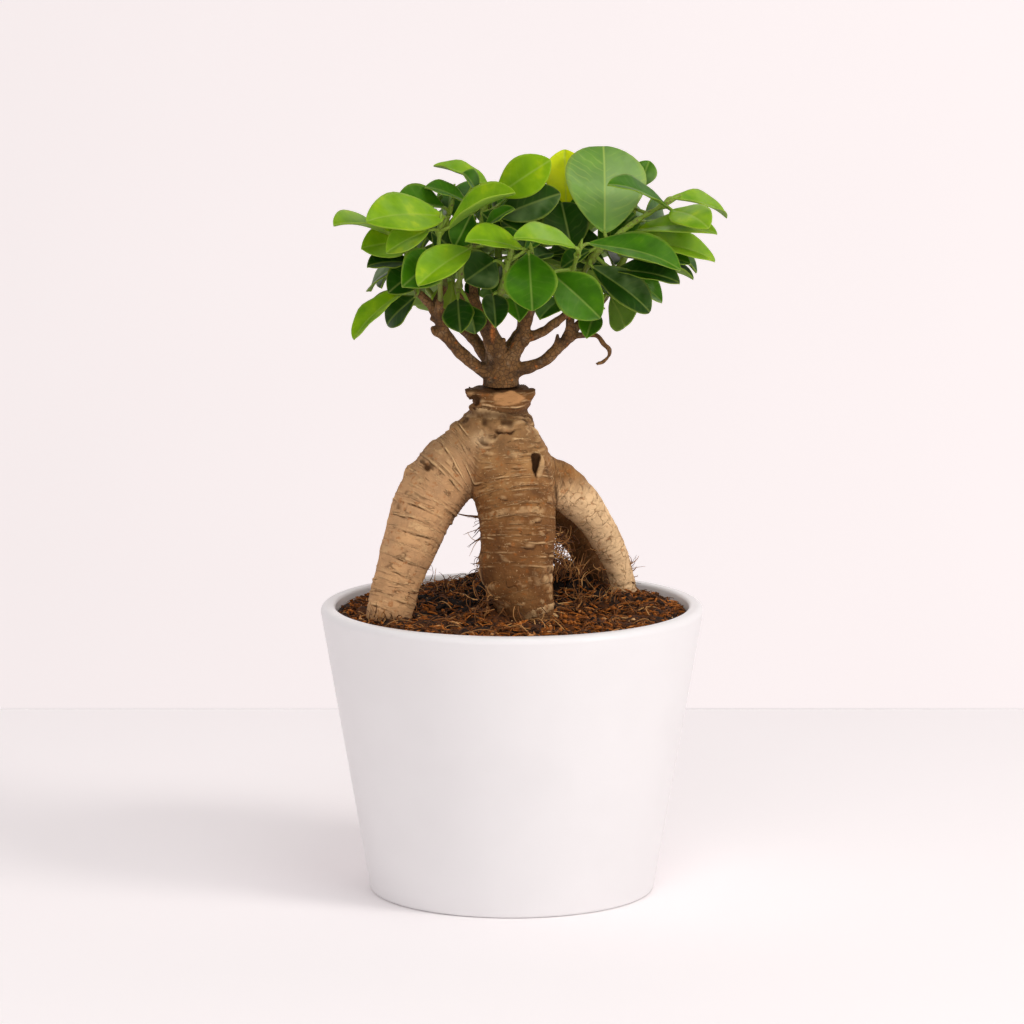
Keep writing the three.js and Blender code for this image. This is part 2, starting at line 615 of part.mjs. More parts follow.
// A closed skin where a distance field crosses zero:
// one point in each grid cell that it passes through, and one quad round each edge that it crosses.
function skinOf(distance, low, high, cell) {
  const count = low.map((start, axis) => Math.ceil((high[axis] - start) / cell) + 1);
  const index = (i, j, k) => (k * count[1] + j) * count[0] + i;
  const values = new Float64Array(count[0] * count[1] * count[2]);
  everyPlace(0, count, (i, j, k) => {
    values[index(i, j, k)] = distance(low[0] + i * cell, low[1] + j * cell, low[2] + k * cell);
  });
  const cells = count.map((n) => n - 1);
  const positions = [];
  const pointOf = new Int32Array(values.length).fill(-1);
  everyPlace(0, cells, (i, j, k) => {
    const point = crossingPoint(CELL_CORNERS.map(([a, b, c]) => values[index(i + a, j + b, k + c)]));
    if (!point) return;
    pointOf[index(i, j, k)] = positions.length;
    positions.push([i, j, k].map((n, axis) => low[axis] + (n + point[axis]) * cell));
  });
  const triangles = [];
  const quad = (inside, a, b, c, d) => {
    if (inside) triangles.push([a, b, c], [a, c, d]);
    else triangles.push([a, c, b], [a, d, c]);
  };
  everyPlace(1, cells, (i, j, k) => {
    const here = values[index(i, j, k)] < 0;
    const p = (a, b, c) => pointOf[index(i - a, j - b, k - c)];
    if (here !== values[index(i + 1, j, k)] < 0) quad(here, p(0, 0, 0), p(0, 1, 0), p(0, 1, 1), p(0, 0, 1));
    if (here !== values[index(i, j + 1, k)] < 0) quad(here, p(0, 0, 0), p(0, 0, 1), p(1, 0, 1), p(1, 0, 0));
    if (here !== values[index(i, j, k + 1)] < 0) quad(here, p(0, 0, 0), p(1, 0, 0), p(1, 1, 0), p(0, 1, 0));
  });
  return solidFrom(positions, triangles);
}

// The root stock: one grown piece, from the pruned top to the root ends in the soil.
function rootStock() {
  const margin = 2 * STOCK_CELL;
  const reach = ROOT_PATHS.flat();
  const low = [0, 1, 2].map((axis) => Math.min(...reach.map((row) => row[axis] - row[3])) - margin);
  const high = [0, 1, 2].map((axis) => Math.max(...reach.map((row) => row[axis] + row[3])) + margin);
  return mainBody(skinOf(stockDistance, low, high, STOCK_CELL));
}

// The grafted wood: the neck, its limbs, pruned stubs and the dead twig, grown as one piece.
function graftedWood() {
  const limbs = Object.values(LIMBS).map((chain) => limb(chain, WOOD_SIDES, 1));
  const snags = SNAGS.map((chain) => limb(chain, SNAG_SIDES, 1));
  const joined = wasm.Manifold.union([...limbs, ...snags]);
  return mainBody(joined.trimByPlane([0, 0, 1], CUT_TOP_Z + GRAFT_GAP));
}

// A shoot's twig as points with radii: it starts a hair off the end of its limb and follows on.
function twigChain(name) {
  const wood = LIMBS[name];
  const end = vec(wood[wood.length - 1]);
  const along = end.clone().sub(vec(wood[wood.length - 2])).normalize();
  const foot = end.clone().addScaledVector(along, GRAFT_GAP).toArray();
  const next = end.clone().addScaledVector(along, GRAFT_GAP + TWIG_START).toArray();
  const points = [foot, next, ...SHOOTS[name].path];
  return points.map((point, i) => [...point, mix(TWIG_RADIUS, TWIG_TIP_RADIUS, i / (points.length - 1))]);
}

// A repeatable draw between 0 and 1.
function drawFrom(seed) {
  let state = seed;
  return () => {
    state = (state * DRAW_FACTOR) % DRAW_RANGE;
    return state / DRAW_RANGE;
  };
}

// The point at a share of a path's length.
function pointAlong(path, share) {
  const lengths = path.map((row, i) => (i ? vec(row).distanceTo(vec(path[i - 1])) : 0));
  let left = share * lengths.reduce((sum, length) => sum + length, 0);
  for (let i = 1; i < path.length; i++) {
    if (left <= lengths[i] || i === path.length - 1) {
      return vec(path[i - 1]).lerp(vec(path[i]), Math.min(1, left / lengths[i]));
    }
    left -= lengths[i];
  }
  return vec(path[0]);
}

// The nearest point to a place on any shoot's twig that leaves room for a stalk, and which shoot that is.
function nearestTwig(place) {
  let best = { gap: Infinity };
  for (const shoot of Object.keys(SHOOTS)) {
    for (const row of alongChain(twigChain(shoot), 5).slice(7)) {
      const gap = place.distanceTo(vec(row));
      if (gap > SHORTEST_STALK && gap < best.gap) best = { gap, shoot, foot: vec(row) };
    }
  }
  return best;
}

// The leaves the front view shows: each with its shoot, the foot of its stalk,
// its blade's base, tip and width, and the way its face looks.
function seenLeaves() {
  return SEEN_LEAVES.map(([from, to, width, lean]) => {
    const base = vec(from);
    const { shoot, foot } = nearestTwig(base);
    const face = new THREE.Vector3(0, -Math.sin(radians(lean)), Math.cos(radians(lean)));
    return { shoot, foot, base, tip: vec(to), width, face, roll: 0 };
  });
}

// A leaf that grows from a twig at a bearing and a rise.
function leafToward(shoot, foot, bearing, rise, length, width) {
  const out = new THREE.Vector3(Math.cos(bearing), Math.sin(bearing), 0);
  const base = foot.clone().addScaledVector(out, PETIOLE_LENGTH);
  base.z += PETIOLE_LENGTH * Math.sin(rise);
  const tip = base.clone().addScaledVector(out, length * Math.cos(rise));
  tip.z += length * Math.sin(rise);
  const away = foot.clone().sub(vec(CROWN_MIDDLE)).setZ(0).normalize();
  const face = new THREE.Vector3(0, 0, 1).addScaledVector(away, OUTWARD_LEAN);
  return { shoot, foot, base, tip, width, face, roll: 0 };
}

// Whether a leaf's tip ends inside the crown, behind the leaves seen in front.
function endsInCrown({ tip }) {
  const reached = tip.clone().sub(vec(CROWN_MIDDLE)).divide(vec(CROWN_REACH)).length();
  return reached <= 1 && tip.z >= CROWN_BASE && tip.y >= CROWN_FRONT;
}

// The least squared distance between a leaf's points and another blade's,
// apart from where both grow from one twig.
function roomBeside(own, shoot, cloud) {
  let room = Infinity;
  for (const p of own) {
    for (const q of cloud) {
      if (cloud.shoot === shoot && Math.min(p.u, q.u) < ROOM_FOOT) continue;
      room = Math.min(room, p.at.distanceToSquared(q.at));
    }
  }
  return room;
}

// The least distance from a leaf's blade and stalk to the blades and twigs already there.
function roomFor(leaf, clouds, twigs) {
  if (!endsInCrown(leaf)) return 0;
  const middle = leaf.base.clone().lerp(leaf.tip, 0.5);
  const own = [...bladeCloud(leaf), { at: leaf.base, u: 0 }];
  let room = Infinity;
  for (const cloud of clouds) {
    if (cloud[CLOUD_MIDDLE].at.distanceTo(middle) > ROOM_LEAVES) continue;
    room = Math.min(room, roomBeside(own, leaf.shoot, cloud));
  }
  for (const twig of twigs) {
    if (twig.at.distanceTo(middle) > ROOM_TWIGS) continue;
    for (const p of own) {
      if (twig.shoot === leaf.shoot && p.u < TWIG_FOOT) continue;
      room = Math.min(room, Math.max(0, p.at.distanceTo(twig.at) - twig.radius) ** 2);
    }
  }
  return Math.sqrt(room);
}

// How crowded the crown already is round a leaf's middle, as the front view sees it.
function crowding(leaf, clouds) {
  const middle = leaf.base.clone().lerp(leaf.tip, 0.5);
  return clouds.reduce((sum, cloud) => {
    const apart = cloud[CLOUD_MIDDLE].at.clone().sub(middle).setY(0);
    return sum + Math.exp(-apart.lengthSq() / CROWDING_REACH ** 2);
  }, 0);
}

// The leaf of one size that grows from a foot to where the crown is least crowded, if it finds room.
function leastCrowded(shoot, foot, first, length, width, clouds, twigs) {
  let best = { crowd: Infinity };
  for (let turn = 0; turn < BEARINGS; turn++) {
    for (const rise of RISES) {
      const bearing = radians(first + (360 * turn) / BEARINGS);
      const leaf = leafToward(shoot, foot, bearing, radians(rise), length, width);
      const crowd = crowding(leaf, clouds);
      if (crowd < best.crowd && roomFor(leaf, clouds, twigs) > LEAST_ROOM) best = { crowd, leaf };
    }
  }
  return best.leaf;
}

// The other leaves, each turned to where the crown is least crowded and as large as finds room there.
function otherLeaves(seen, twigs) {
  const clouds = seen.map((leaf) => Object.assign(bladeCloud(leaf), { shoot: leaf.shoot }));
  const leaves = [];
  Object.entries(SHOOTS).forEach(([shoot, { others }], number) => {
    const path = alongChain(twigChain(shoot), 3);
    const draw = drawFrom(FIRST_SEED + SEED_STEP * number);
    for (let k = 0; k < others; k++) {
      const foot = pointAlong(path, mix(FIRST_FOOT, 1, (k + 0.5) / others));
      const length = mix(...OTHER_LENGTHS, draw());
      const width = length * mix(...OTHER_WIDTHS, draw());
      const first = 360 * draw();
      for (const size of SIZES) {
        const leaf = leastCrowded(shoot, foot, first, size * length, size * width, clouds, twigs);
        if (!leaf) continue;
        leaves.push(leaf);
        clouds.push(Object.assign(bladeCloud(leaf), { shoot }));
        break;
      }
    }
  });
  return leaves;
}

// A leaf's own axes: along it, across it and out of its face, turned by its roll.
function leafAxes(leaf) {
  const along = leaf.tip.clone().sub(leaf.base).normalize();
  const flat = leaf.face.clone().addScaledVector(along, -leaf.face.dot(along)).normalize();
  const side = flat.clone().cross(along);
  const { roll } = leaf;
  const out = flat.clone().multiplyScalar(Math.cos(roll)).addScaledVector(side, Math.sin(roll));
  const across = side.clone().multiplyScalar(Math.cos(roll)).addScaledVector(flat, -Math.sin(roll));
  return { along, across, out };
}

// Half the blade's width at a share of its length, as a share of half the leaf's width.
function bladeShare(share) {
  return Math.sin(Math.PI * share ** BLADE_FULLEST) ** BLADE_FULLNESS;
}

// A point of the blade: u from stalk end to tip, v from -1 to 1 across, lift out of the face.
function leafPoint(leaf, axes, u, v, lift) {
  const length = leaf.tip.distanceTo(leaf.base);
  const half = (leaf.width / 2) * bladeShare(u);
  const bow = LEAF_ARCH * length * 4 * u * (1 - u);
  const fold = LEAF_FOLD * half * Math.abs(v);
  return leaf.base.clone()
    .addScaledVector(axes.along, length * u)
    .addScaledVector(axes.across, half * v)
    .addScaledVector(axes.out, bow + fold + lift);
}

// The place of the blade's middle among the points of its cloud.
const CLOUD_MIDDLE = Math.floor((SPREAD_U.length * SPREAD_V.length) / 2);

// A cloud of points spread over a leaf's blade, with how far across each lies.
function bladeCloud(leaf) {
  const axes = leafAxes(leaf);
  return SPREAD_U.flatMap((u) => SPREAD_V.map((v) => ({
    at: leafPoint(leaf, axes, u, v, 0),
    arm: (leaf.width / 2) * bladeShare(u) * v,
    out: axes.out,
    u,
  })));
}

// Leaves that are near each other, with the direction in which the first lies over the second.
function nearPairs(leaves) {
  const centre = (leaf) => leaf.base.clone().lerp(leaf.tip, 0.5);
  const pairs = [];
  leaves.forEach((a, i) => leaves.forEach((b, j) => {
    if (j <= i) return;
    const apart = centre(a).sub(centre(b));
    const reach = (a.base.distanceTo(a.tip) + b.base.distanceTo(b.tip)) / 2 + NEAR_LEAVES;
    if (apart.length() > reach) return;
    const over = leafAxes(a).out.add(leafAxes(b).out);
    if (over.length() < 0.5) over.copy(apart);
    over.normalize();
    if (apart.dot(over) < 0) over.negate();
    pairs.push([i, j, over]);
  }));
  return pairs;
}

// Adds one push on a point of a blade to the leaf's move.
function press(move, point, direction, depth) {
  move.push.addScaledVector(direction, depth * point.u);
  move.weight += point.u ** 2;
  move.twist += depth * direction.dot(point.out) * point.arm;
  move.arms += point.arm ** 2;
}

// Presses two neighbouring blades apart wherever their points lie closer than the gap they keep.
function pressPair(first, second, over, sameShoot) {
  const away = new THREE.Vector3();
  for (const p of first.cloud) {
    for (const q of second.cloud) {
      away.subVectors(p.at, q.at);
      if (away.lengthSq() > CLEAR_REACH ** 2 || (sameShoot && Math.min(p.u, q.u) < SHARED_FOOT)) continue;
      const depth = CLEAR_GAP - away.dot(over);
      if (depth <= 0) continue;
      press(first.move, p, over, depth / 2);
      press(second.move, q, over, -depth / 2);
    }
  }
}

// Presses a blade off a twig, apart from where it grows from that twig.
function pressOffTwig(leaf, cloud, move, twig) {
  const away = new THREE.Vector3();
  for (const p of cloud) {
    if (twig.shoot === leaf.shoot && p.u < TWIG_FOOT) continue;
    away.subVectors(p.at, twig.at);
    const depth = TWIG_REACH + twig.radius - away.length();
    if (depth > 0) press(move, p, away.normalize(), depth);
  }
}

// Moves a leaf's tip and roll a step the way it was pressed,
// and no further from its place than a leaf may drift.
function yieldTo({ push, weight, twist, arms }, leaf, place) {
  if (!weight) return;
  const drift = leaf.tip.clone().sub(place);
  drift.addScaledVector(push.multiply(SEEN_MOVES), CLEAR_STEP / weight);
  leaf.tip.copy(drift.clamp(SEEN_DRIFT.clone().negate(), SEEN_DRIFT).add(place));
  const turned = arms > 1 ? leaf.roll + (ROLL_STEP * CLEAR_STEP * twist) / arms : leaf.roll;
  leaf.roll = THREE.MathUtils.clamp(turned, -SEEN_ROLL, SEEN_ROLL);
}

// Moves seen leaves about their stalks until no blade passes through another, or through a twig.
function clearLeaves(leaves, twigs) {
  const places = leaves.map((leaf) => leaf.tip.clone());
  const pairs = nearPairs(leaves);
  const nearTwigs = leaves.map((leaf) => twigs.filter(({ at }) => at.distanceTo(leaf.base) < NEAR_TWIGS));
  for (let round = 0; round < CLEARING_ROUNDS; round++) {
    const blades = leaves.map((leaf) => ({
      cloud: bladeCloud(leaf),
      move: { push: new THREE.Vector3(), weight: 0, twist: 0, arms: 0 },
    }));
    for (const [i, j, over] of pairs) {
      pressPair(blades[i], blades[j], over, leaves[i].shoot === leaves[j].shoot);
    }
    leaves.forEach((leaf, i) => {
      for (const twig of nearTwigs[i]) pressOffTwig(leaf, blades[i].cloud, blades[i].move, twig);
      yieldTo(blades[i].move, leaf, places[i]);
    });
  }
  return leaves;
}

// One leaf as a solid: a four-cornered section that runs up the stalk and through the blade to its tip.
function leafSolid(leaf) {
  const axes = leafAxes(leaf);
  const stalkAlong = leaf.base.clone().sub(leaf.foot).normalize();
  const bend = stalkAlong.clone().add(axes.along).normalize();
  const stalk = (at, along) => {
    const turn = new THREE.Quaternion().setFromUnitVectors(axes.along, along);
    const across = axes.across.clone().applyQuaternion(turn).multiplyScalar(STALK_RADIUS);
    const out = axes.out.clone().applyQuaternion(turn).multiplyScalar(STALK_RADIUS);
    return [[1, 0], [0, 1], [-1, 0], [0, -1]].map(([a, b]) =>
      at.clone().addScaledVector(across, a).addScaledVector(out, b).toArray());
  };
  const blade = BLADE_STATIONS.find(({ widerThan }) => leaf.width > widerThan).at.map((u) => [
    leafPoint(leaf, axes, u, 1, 0),
    leafPoint(leaf, axes, u, 0, MIDRIB_THICKNESS / 2),
    leafPoint(leaf, axes, u, -1, 0),
    leafPoint(leaf, axes, u, 0, -MIDRIB_THICKNESS / 2),
  ].map((point) => point.toArray()));
  return loft([stalk(leaf.foot, stalkAlong), stalk(leaf.base, bend), ...blade], leaf.tip.toArray());
}

// One leafy shoot: the twig and its leaves, grown together.
function shootSolid(name, leaves) {
  const twig = limb(twigChain(name), TWIG_SIDES, 1);
  const blades = leaves.filter((leaf) => leaf.shoot === name).map(leafSolid);
  return mainBody(wasm.Manifold.union([twig, ...blades]));
}

// Points down the middle of every twig and limb, which blades keep off.
function twigPoints() {
  const shoots = Object.keys(SHOOTS).flatMap((shoot) =>
    alongChain(twigChain(shoot), 4).map((row) => ({ shoot, at: vec(row), radius: row[3] })));
  const wood = [...Object.values(LIMBS), ...SNAGS].flatMap((chain) =>
    alongChain(chain, 4).map((row) => ({ shoot: null, at: vec(row), radius: row[3] })));
  return [...shoots, ...wood];
}

const twigs = twigPoints();
const seen = clearLeaves(seenLeaves(), twigs);
const leaves = [...seen, ...otherLeaves(seen, twigs)];

const ficus = new THREE.Group();
ficus.add(
  meshOf("pot", pot(), COLOURS.glaze),
  meshOf("soil", soil(), COLOURS.peat),
  meshOf("root_stock", rootStock(), COLOURS.rootBark),
  meshOf("grafted_wood", graftedWood(), COLOURS.twigBark),
);
Object.keys(SHOOTS).forEach((name) => {
  const label = name.replace(/[A-Z]/g, (letter) => "_" + letter.toLowerCase());
  ficus.add(meshOf("leafy_shoot_" + label, shootSolid(name, leaves), COLOURS.leaf));
});

export default ficus;
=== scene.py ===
"""A ginseng ficus in a white glazed pot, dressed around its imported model.

Sizes are in millimetres and are turned to metres where a mesh is made. +Z is up and the plant's front looks
along -Y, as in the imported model. The roots, limbs and leaves follow the same measured chains and rules as the
part's source, so each finer piece keeps the place and form of the solid that it stands for.
"""
from __future__ import annotations

import logging
import math
from dataclasses import dataclass, field
from enum import Enum
from typing import Iterable, Sequence

import bpy
import numpy as np
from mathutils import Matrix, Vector


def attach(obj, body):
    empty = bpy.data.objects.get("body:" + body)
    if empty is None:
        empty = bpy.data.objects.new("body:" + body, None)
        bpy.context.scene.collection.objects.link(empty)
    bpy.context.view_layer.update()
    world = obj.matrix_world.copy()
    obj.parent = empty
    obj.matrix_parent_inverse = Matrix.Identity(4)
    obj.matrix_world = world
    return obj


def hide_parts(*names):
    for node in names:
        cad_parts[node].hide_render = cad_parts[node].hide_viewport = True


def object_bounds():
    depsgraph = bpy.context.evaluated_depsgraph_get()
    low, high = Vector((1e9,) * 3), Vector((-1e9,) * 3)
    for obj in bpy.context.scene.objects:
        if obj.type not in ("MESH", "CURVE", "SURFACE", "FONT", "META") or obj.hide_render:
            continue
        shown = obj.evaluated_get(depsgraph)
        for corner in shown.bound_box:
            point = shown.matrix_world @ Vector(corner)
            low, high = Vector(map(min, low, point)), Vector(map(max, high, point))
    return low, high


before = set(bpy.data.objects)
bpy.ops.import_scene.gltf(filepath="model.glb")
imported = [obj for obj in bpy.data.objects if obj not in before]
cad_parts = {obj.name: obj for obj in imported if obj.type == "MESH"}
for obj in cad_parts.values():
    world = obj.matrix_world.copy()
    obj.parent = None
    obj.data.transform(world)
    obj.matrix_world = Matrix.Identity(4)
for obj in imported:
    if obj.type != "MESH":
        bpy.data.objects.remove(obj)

LOG = logging.getLogger("ginseng_ficus")
CAD_BOX = [[float(v) for v in corner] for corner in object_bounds()]
MM = 0.001
FULL_TURN = 2 * math.pi
HAIR_SIDES = 5
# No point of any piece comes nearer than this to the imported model's box, in metres.
BOX_MARGIN = 1e-6
# The ranges that a leaf's own bow, fold, cupping and fullness are drawn from, in this order.
LEAF_SHAPES = {
    "arch": (0.03, 0.115), "tipward": (0.0, 1.4), "fold": (0.1, 0.46), "cup": (-0.06, 0.26),
    "full": (0.6, 0.74),
}
# A leaf that is wider than this, in millimetres, lies flatter and shows its veins.
LARGE_LEAF = 25.0
LARGE_LEAF_SHAPE = {"arch": 0.04, "fold": 0.1, "cup": 0.06, "full": 0.52, "fullest": 1.34}

Chain = Sequence[Sequence[float]]
Settings = dict[str | int, object]
Socket = bpy.types.NodeSocket
Stops = Sequence[tuple[float, str]]
Tree = bpy.types.NodeTree


def linear(colour: str) -> tuple[float, float, float, float]:
    """Turn an sRGB hex colour into linear light.

    Args:
        colour: Six hex digits with a leading hash.

    Returns:
        Linear red, green and blue, and an alpha of 1.
    """
    channels = [int(colour[i:i + 2], 16) / 255 for i in (1, 3, 5)]
    red, green, blue = [c / 12.92 if c <= 0.04045 else ((c + 0.055) / 1.055) ** 2.4 for c in channels]
    return red, green, blue, 1.0


def feed(tree: Tree, node: bpy.types.Node, settings: Settings) -> bpy.types.Node:
    """Give a node its settings.

    Args:
        tree: The node tree it is in.
        node: The node.
        settings: Lower-case names set the node's own properties. Other names and numbers stand for its
            inputs, which take a value or are fed by a pattern.

    Returns:
        The same node.
    """
    for key, value in settings.items():
        if isinstance(value, Pattern):
            tree.links.new(value.socket, node.inputs[key])
        elif isinstance(key, str) and key[0].islower():
            setattr(node, key, value)
        else:
            node.inputs[key].default_value = value
    return node


def add_node(tree: Tree, kind: str, settings: Settings | None = None) -> bpy.types.Node:
    """Add a node by its type name without the "ShaderNode" start, with its settings."""
    return feed(tree, tree.nodes.new("ShaderNode" + kind), settings or {})


@dataclass(frozen=True)
class Pattern:
    """A number or colour that varies over a surface: one output of a material's node tree."""

    tree: Tree
    socket: Socket

    def maths(self, operation: str, second: Pattern | float = 0.0) -> Pattern:
        """Combine the pattern with another or with a number."""
        node = add_node(self.tree, "Math", {"operation": operation, 0: self, 1: second})
        return Pattern(self.tree, node.outputs[0])

    def __add__(self, other: Pattern | float) -> Pattern:
        """Add."""
        return self.maths("ADD", other)

    def __sub__(self, other: Pattern | float) -> Pattern:
        """Take away."""
        return self.maths("SUBTRACT", other)

    def __mul__(self, other: Pattern | float) -> Pattern:
        """Multiply."""
        return self.maths("MULTIPLY", other)

    def __truediv__(self, other: Pattern | float) -> Pattern:
        """Divide."""
        return self.maths("DIVIDE", other)

    def __abs__(self) -> Pattern:
        """Drop the sign."""
        return self.maths("ABSOLUTE")

    def most(self, other: Pattern) -> Pattern:
        """Take the larger of two patterns."""
        return self.maths("MAXIMUM", other)

    def span(self, low: float, high: float, first: float = 0.0, last: float = 1.0) -> Pattern:
        """Stretch the part of the pattern between two values to 0 to 1, or to two other values."""
        stretch = {"From Min": low, "From Max": high, "To Min": first, "To Max": last, "Value": self}
        return Pattern(self.tree, add_node(self.tree, "MapRange", stretch).outputs["Result"])

    def ramp(self, stops: Stops) -> Pattern:
        """Turn the pattern into colour by stops of position and sRGB hex."""
        node = add_node(self.tree, "ValToRGB", {"Fac": self})
        band = node.color_ramp
        while len(band.elements) < len(stops):
            band.elements.new(0.5)
        for element, (position, colour) in zip(band.elements, stops):
            element.position = position
            element.color = linear(colour)
        return Pattern(self.tree, node.outputs["Color"])

    def tinted(self, amount: Pattern, colour: str) -> Pattern:
        """Lay an sRGB hex colour over this one, as far as a pattern says."""
        kind = {"data_type": "RGBA", "blend_type": "MIX", "clamp_factor": True}
        mixed = add_node(self.tree, "Mix", {**kind, 0: amount, 6: self, 7: linear(colour)})
        return Pattern(self.tree, mixed.outputs[2])


@dataclass(frozen=True)
class Surface:
    """A material being made up: its node tree and its Principled shader."""

    tree: Tree
    shader: bpy.types.Node

    def output(self, kind: str, outlet: str | int, settings: Settings | None = None) -> Pattern:
        """Add a node and give one of its outputs."""
        return Pattern(self.tree, add_node(self.tree, kind, settings).outputs[outlet])

    def wear(self, settings: Settings) -> None:
        """Feed the shader's own inputs."""
        feed(self.tree, self.shader, settings)

    def place(self) -> Pattern:
        """Give the place in the object's own space."""
        return self.output("TexCoord", "Object")

    def mark(self, name: str) -> Pattern:
        """Give one of the piece's own point marks."""
        return self.output("Attribute", "Fac", {"attribute_name": name})

    def grain(self, size: float, detail: float = 3.0, seed: float = 0.0) -> Pattern:
        """Give a soft cloudy pattern, near 0.5 on average.

        Args:
            size: Width of one cloud in millimetres.
            detail: How many finer octaves are added.
            seed: Moves the pattern, so that two patterns don't line up.

        Returns:
            The pattern.
        """
        step = (seed, seed * 0.7, -seed)
        moved = self.output("VectorMath", 0, {"operation": "ADD", 0: self.place(), 1: step})
        return self.output("TexNoise", "Fac", {"Scale": 1 / (size * MM), "Detail": detail, "Vector": moved})

    def cells(self, size: float, place: Pattern) -> Pattern:
        """Give the distance to the edge of the nearest cell of a net, from the cells' size in millimetres."""
        net = {"feature": "DISTANCE_TO_EDGE", "Scale": 1 / (size * MM), "Vector": place}
        return self.output("TexVoronoi", "Distance", net)

    def relief(self, height: Pattern, depth: float, strength: float) -> None:
        """Feed a height pattern to the shader's normal.

        Args:
            height: The height pattern, 0 to 1.
            depth: Height of the full pattern in millimetres.
            strength: Share of the bump that is used.
        """
        bump = self.output("Bump", 0, {"Strength": strength, "Distance": depth * MM, "Height": height})
        self.wear({"Normal": bump})


@dataclass(frozen=True)
class Finish:
    """What a piece's surface is made of; the base that each real finish builds on."""

    name: str
    roughness: float
    ior: float

    def material(self) -> bpy.types.Material:
        """Build the finish as a material, or give back the one already built.

        Returns:
            The material, with one Principled shader dressed by the finish.
        """
        known = bpy.data.materials.get(self.name)
        if known:
            return known
        material = bpy.data.materials.new(self.name)
        material.use_nodes = True
        tree = material.node_tree
        tree.nodes.clear()
        shader = add_node(tree, "BsdfPrincipled", {"Roughness": self.roughness, "IOR": self.ior})
        add_node(tree, "OutputMaterial", {"Surface": Pattern(tree, shader.outputs[0])})
        self.dress(Surface(tree, shader))
        return material

    def dress(self, surface: Surface) -> None:
        """Add colour, grain and bump to the shader; each real finish has its own way."""
        raise NotImplementedError


@dataclass(frozen=True)
class GlazedStoneware(Finish):
    """Slip-cast stoneware with a white satin glaze: soft broad reflections and hardly any waviness."""

    name: str = "glazed_stoneware"
    roughness: float = 0.4
    ior: float = 1.52
    glaze: str = "#ebe9ea"
    thin_glaze: str = "#e8e6e7"
    cloud_size: float = 34.0
    wave_size: float = 5.0
    wave_depth: float = 0.04

    def dress(self, surface: Surface) -> None:
        """Cloud the white a little and let the glaze lie in long shallow waves."""
        cloud = surface.grain(self.cloud_size, 2.0).span(0.45, 0.75)
        surface.wear({
            "Base Color": cloud.ramp([(0.0, self.glaze), (1.0, self.thin_glaze)]),
            "Specular IOR Level": 0.35, "Coat Weight": 0.12, "Coat Roughness": 0.15,
        })
        surface.relief(surface.grain(self.wave_size, 1.0, 3.0), self.wave_depth, 0.25)


@dataclass(frozen=True)
class LeatheryLeaf(Finish):
    """A fig's living leaf: a saturated wax-coated top with a slightly paler midrib, and a matt light underside.

    The wax gives a faint gloss, a soft sheen is painted into the colour in patches, and the blade lets a little
    light through.
    """

    name: str = "leathery_leaf"
    roughness: float = 0.42
    under_roughness: float = 0.62
    ior: float = 1.42
    vein_spacing: float = 2.9
    vein_slant: float = 0.55
    vein_sway: float = 3.2
    # Greens from dark to yellow-green, read by a tone mark that holds painted shade as well.
    ages: Stops = (
        (0.0, "#0a2c01"), (0.25, "#184602"), (0.45, "#386c04"), (0.6, "#548606"), (0.78, "#7ca40a"),
        (0.95, "#c6d40e"), (1.2, "#d6e012"),
    )
    vein: str = "#a7bb5c"
    underside: str = "#7a9a3c"
    # Painted pale rim, where light shines through the blade's thin edge.
    rim: str = "#b4c648"
    sheen: str = "#a9c583"
    gloss: str = "#e2f294"
    relief_depth: float = 0.16

    def dress(self, surface: Surface) -> None:
        """Colour by tone, then lay painted sheen, underside, veins and a painted pale rim over it."""
        colour = (surface.mark("age") + (surface.grain(6.5) * 0.42 - 0.21)).ramp(self.ages)
        # Patches of painted sheen, nearly whole on the largest leaf.
        patch = surface.grain(8.0, 2.0, 7.0).span(0.3, 0.62).most(surface.mark("veined") * 0.85)
        veins = self.veins(surface)
        under = surface.mark("under")
        for amount, shade in (
            (surface.mark("bloom") * patch * 0.8, self.sheen), (under * 0.8, self.underside),
            (veins * 0.6, self.vein), (surface.mark("rim") * 0.28, self.rim),
        ):
            colour = colour.tinted(amount, shade)
        surface.wear({
            "Base Color": colour, "Roughness": under.span(0.0, 1.0, self.roughness, self.under_roughness),
            "Specular IOR Level": 0.24, "Specular Tint": linear(self.gloss), "Coat Weight": 0.05,
            "Coat Roughness": 0.16, "Subsurface Weight": 0.1, "Subsurface Radius": (0.6, 1.0, 0.05),
            "Subsurface Scale": 0.0012,
        })
        surface.relief(veins * -0.6 + surface.grain(2.4, 2.0, 5.0), self.relief_depth, 0.4)

    def veins(self, surface: Surface) -> Pattern:
        """Give the midrib and the side veins, which show plainly on the largest leaf alone.

        Returns:
            1 on a vein and 0 between veins.
        """
        across, veined = surface.mark("across"), surface.mark("veined")
        sway = surface.grain(5.0, 1.0, 2.0) * self.vein_sway
        count = (surface.mark("along") - across * self.vein_slant + sway) / self.vein_spacing
        broken = surface.grain(7.0, 1.0, 4.0).span(0.35, 0.6)
        side_veins = count.maths("PINGPONG", 0.5).span(0.16, 0.0) * broken
        midrib = across.span(0.55, 0.12) * veined.span(-0.85, 1.0)
        return (side_veins * (veined * 0.5)).most(side_veins * 0.09).most(midrib)


@dataclass(frozen=True)
class GreenTwigBark(Finish):
    """The young skin of a fig's shoot: smooth light green with brownish flecks."""

    name: str = "green_twig_bark"
    roughness: float = 0.5
    ior: float = 1.45
    young: str = "#7f9a2c"
    old: str = "#5b4526"
    fleck: str = "#6a5a2e"

    def dress(self, surface: Surface) -> None:
        """Fleck the green with brown and let it turn to bark near the foot."""
        base = surface.mark("woody").ramp([(0.0, self.young), (1.0, self.old)])
        surface.wear({"Base Color": base.tinted(surface.grain(1.1, 2.0).span(0.55, 0.7), self.fleck)})
        surface.relief(surface.grain(0.8, 2.0, 2.0), 0.12, 0.5)


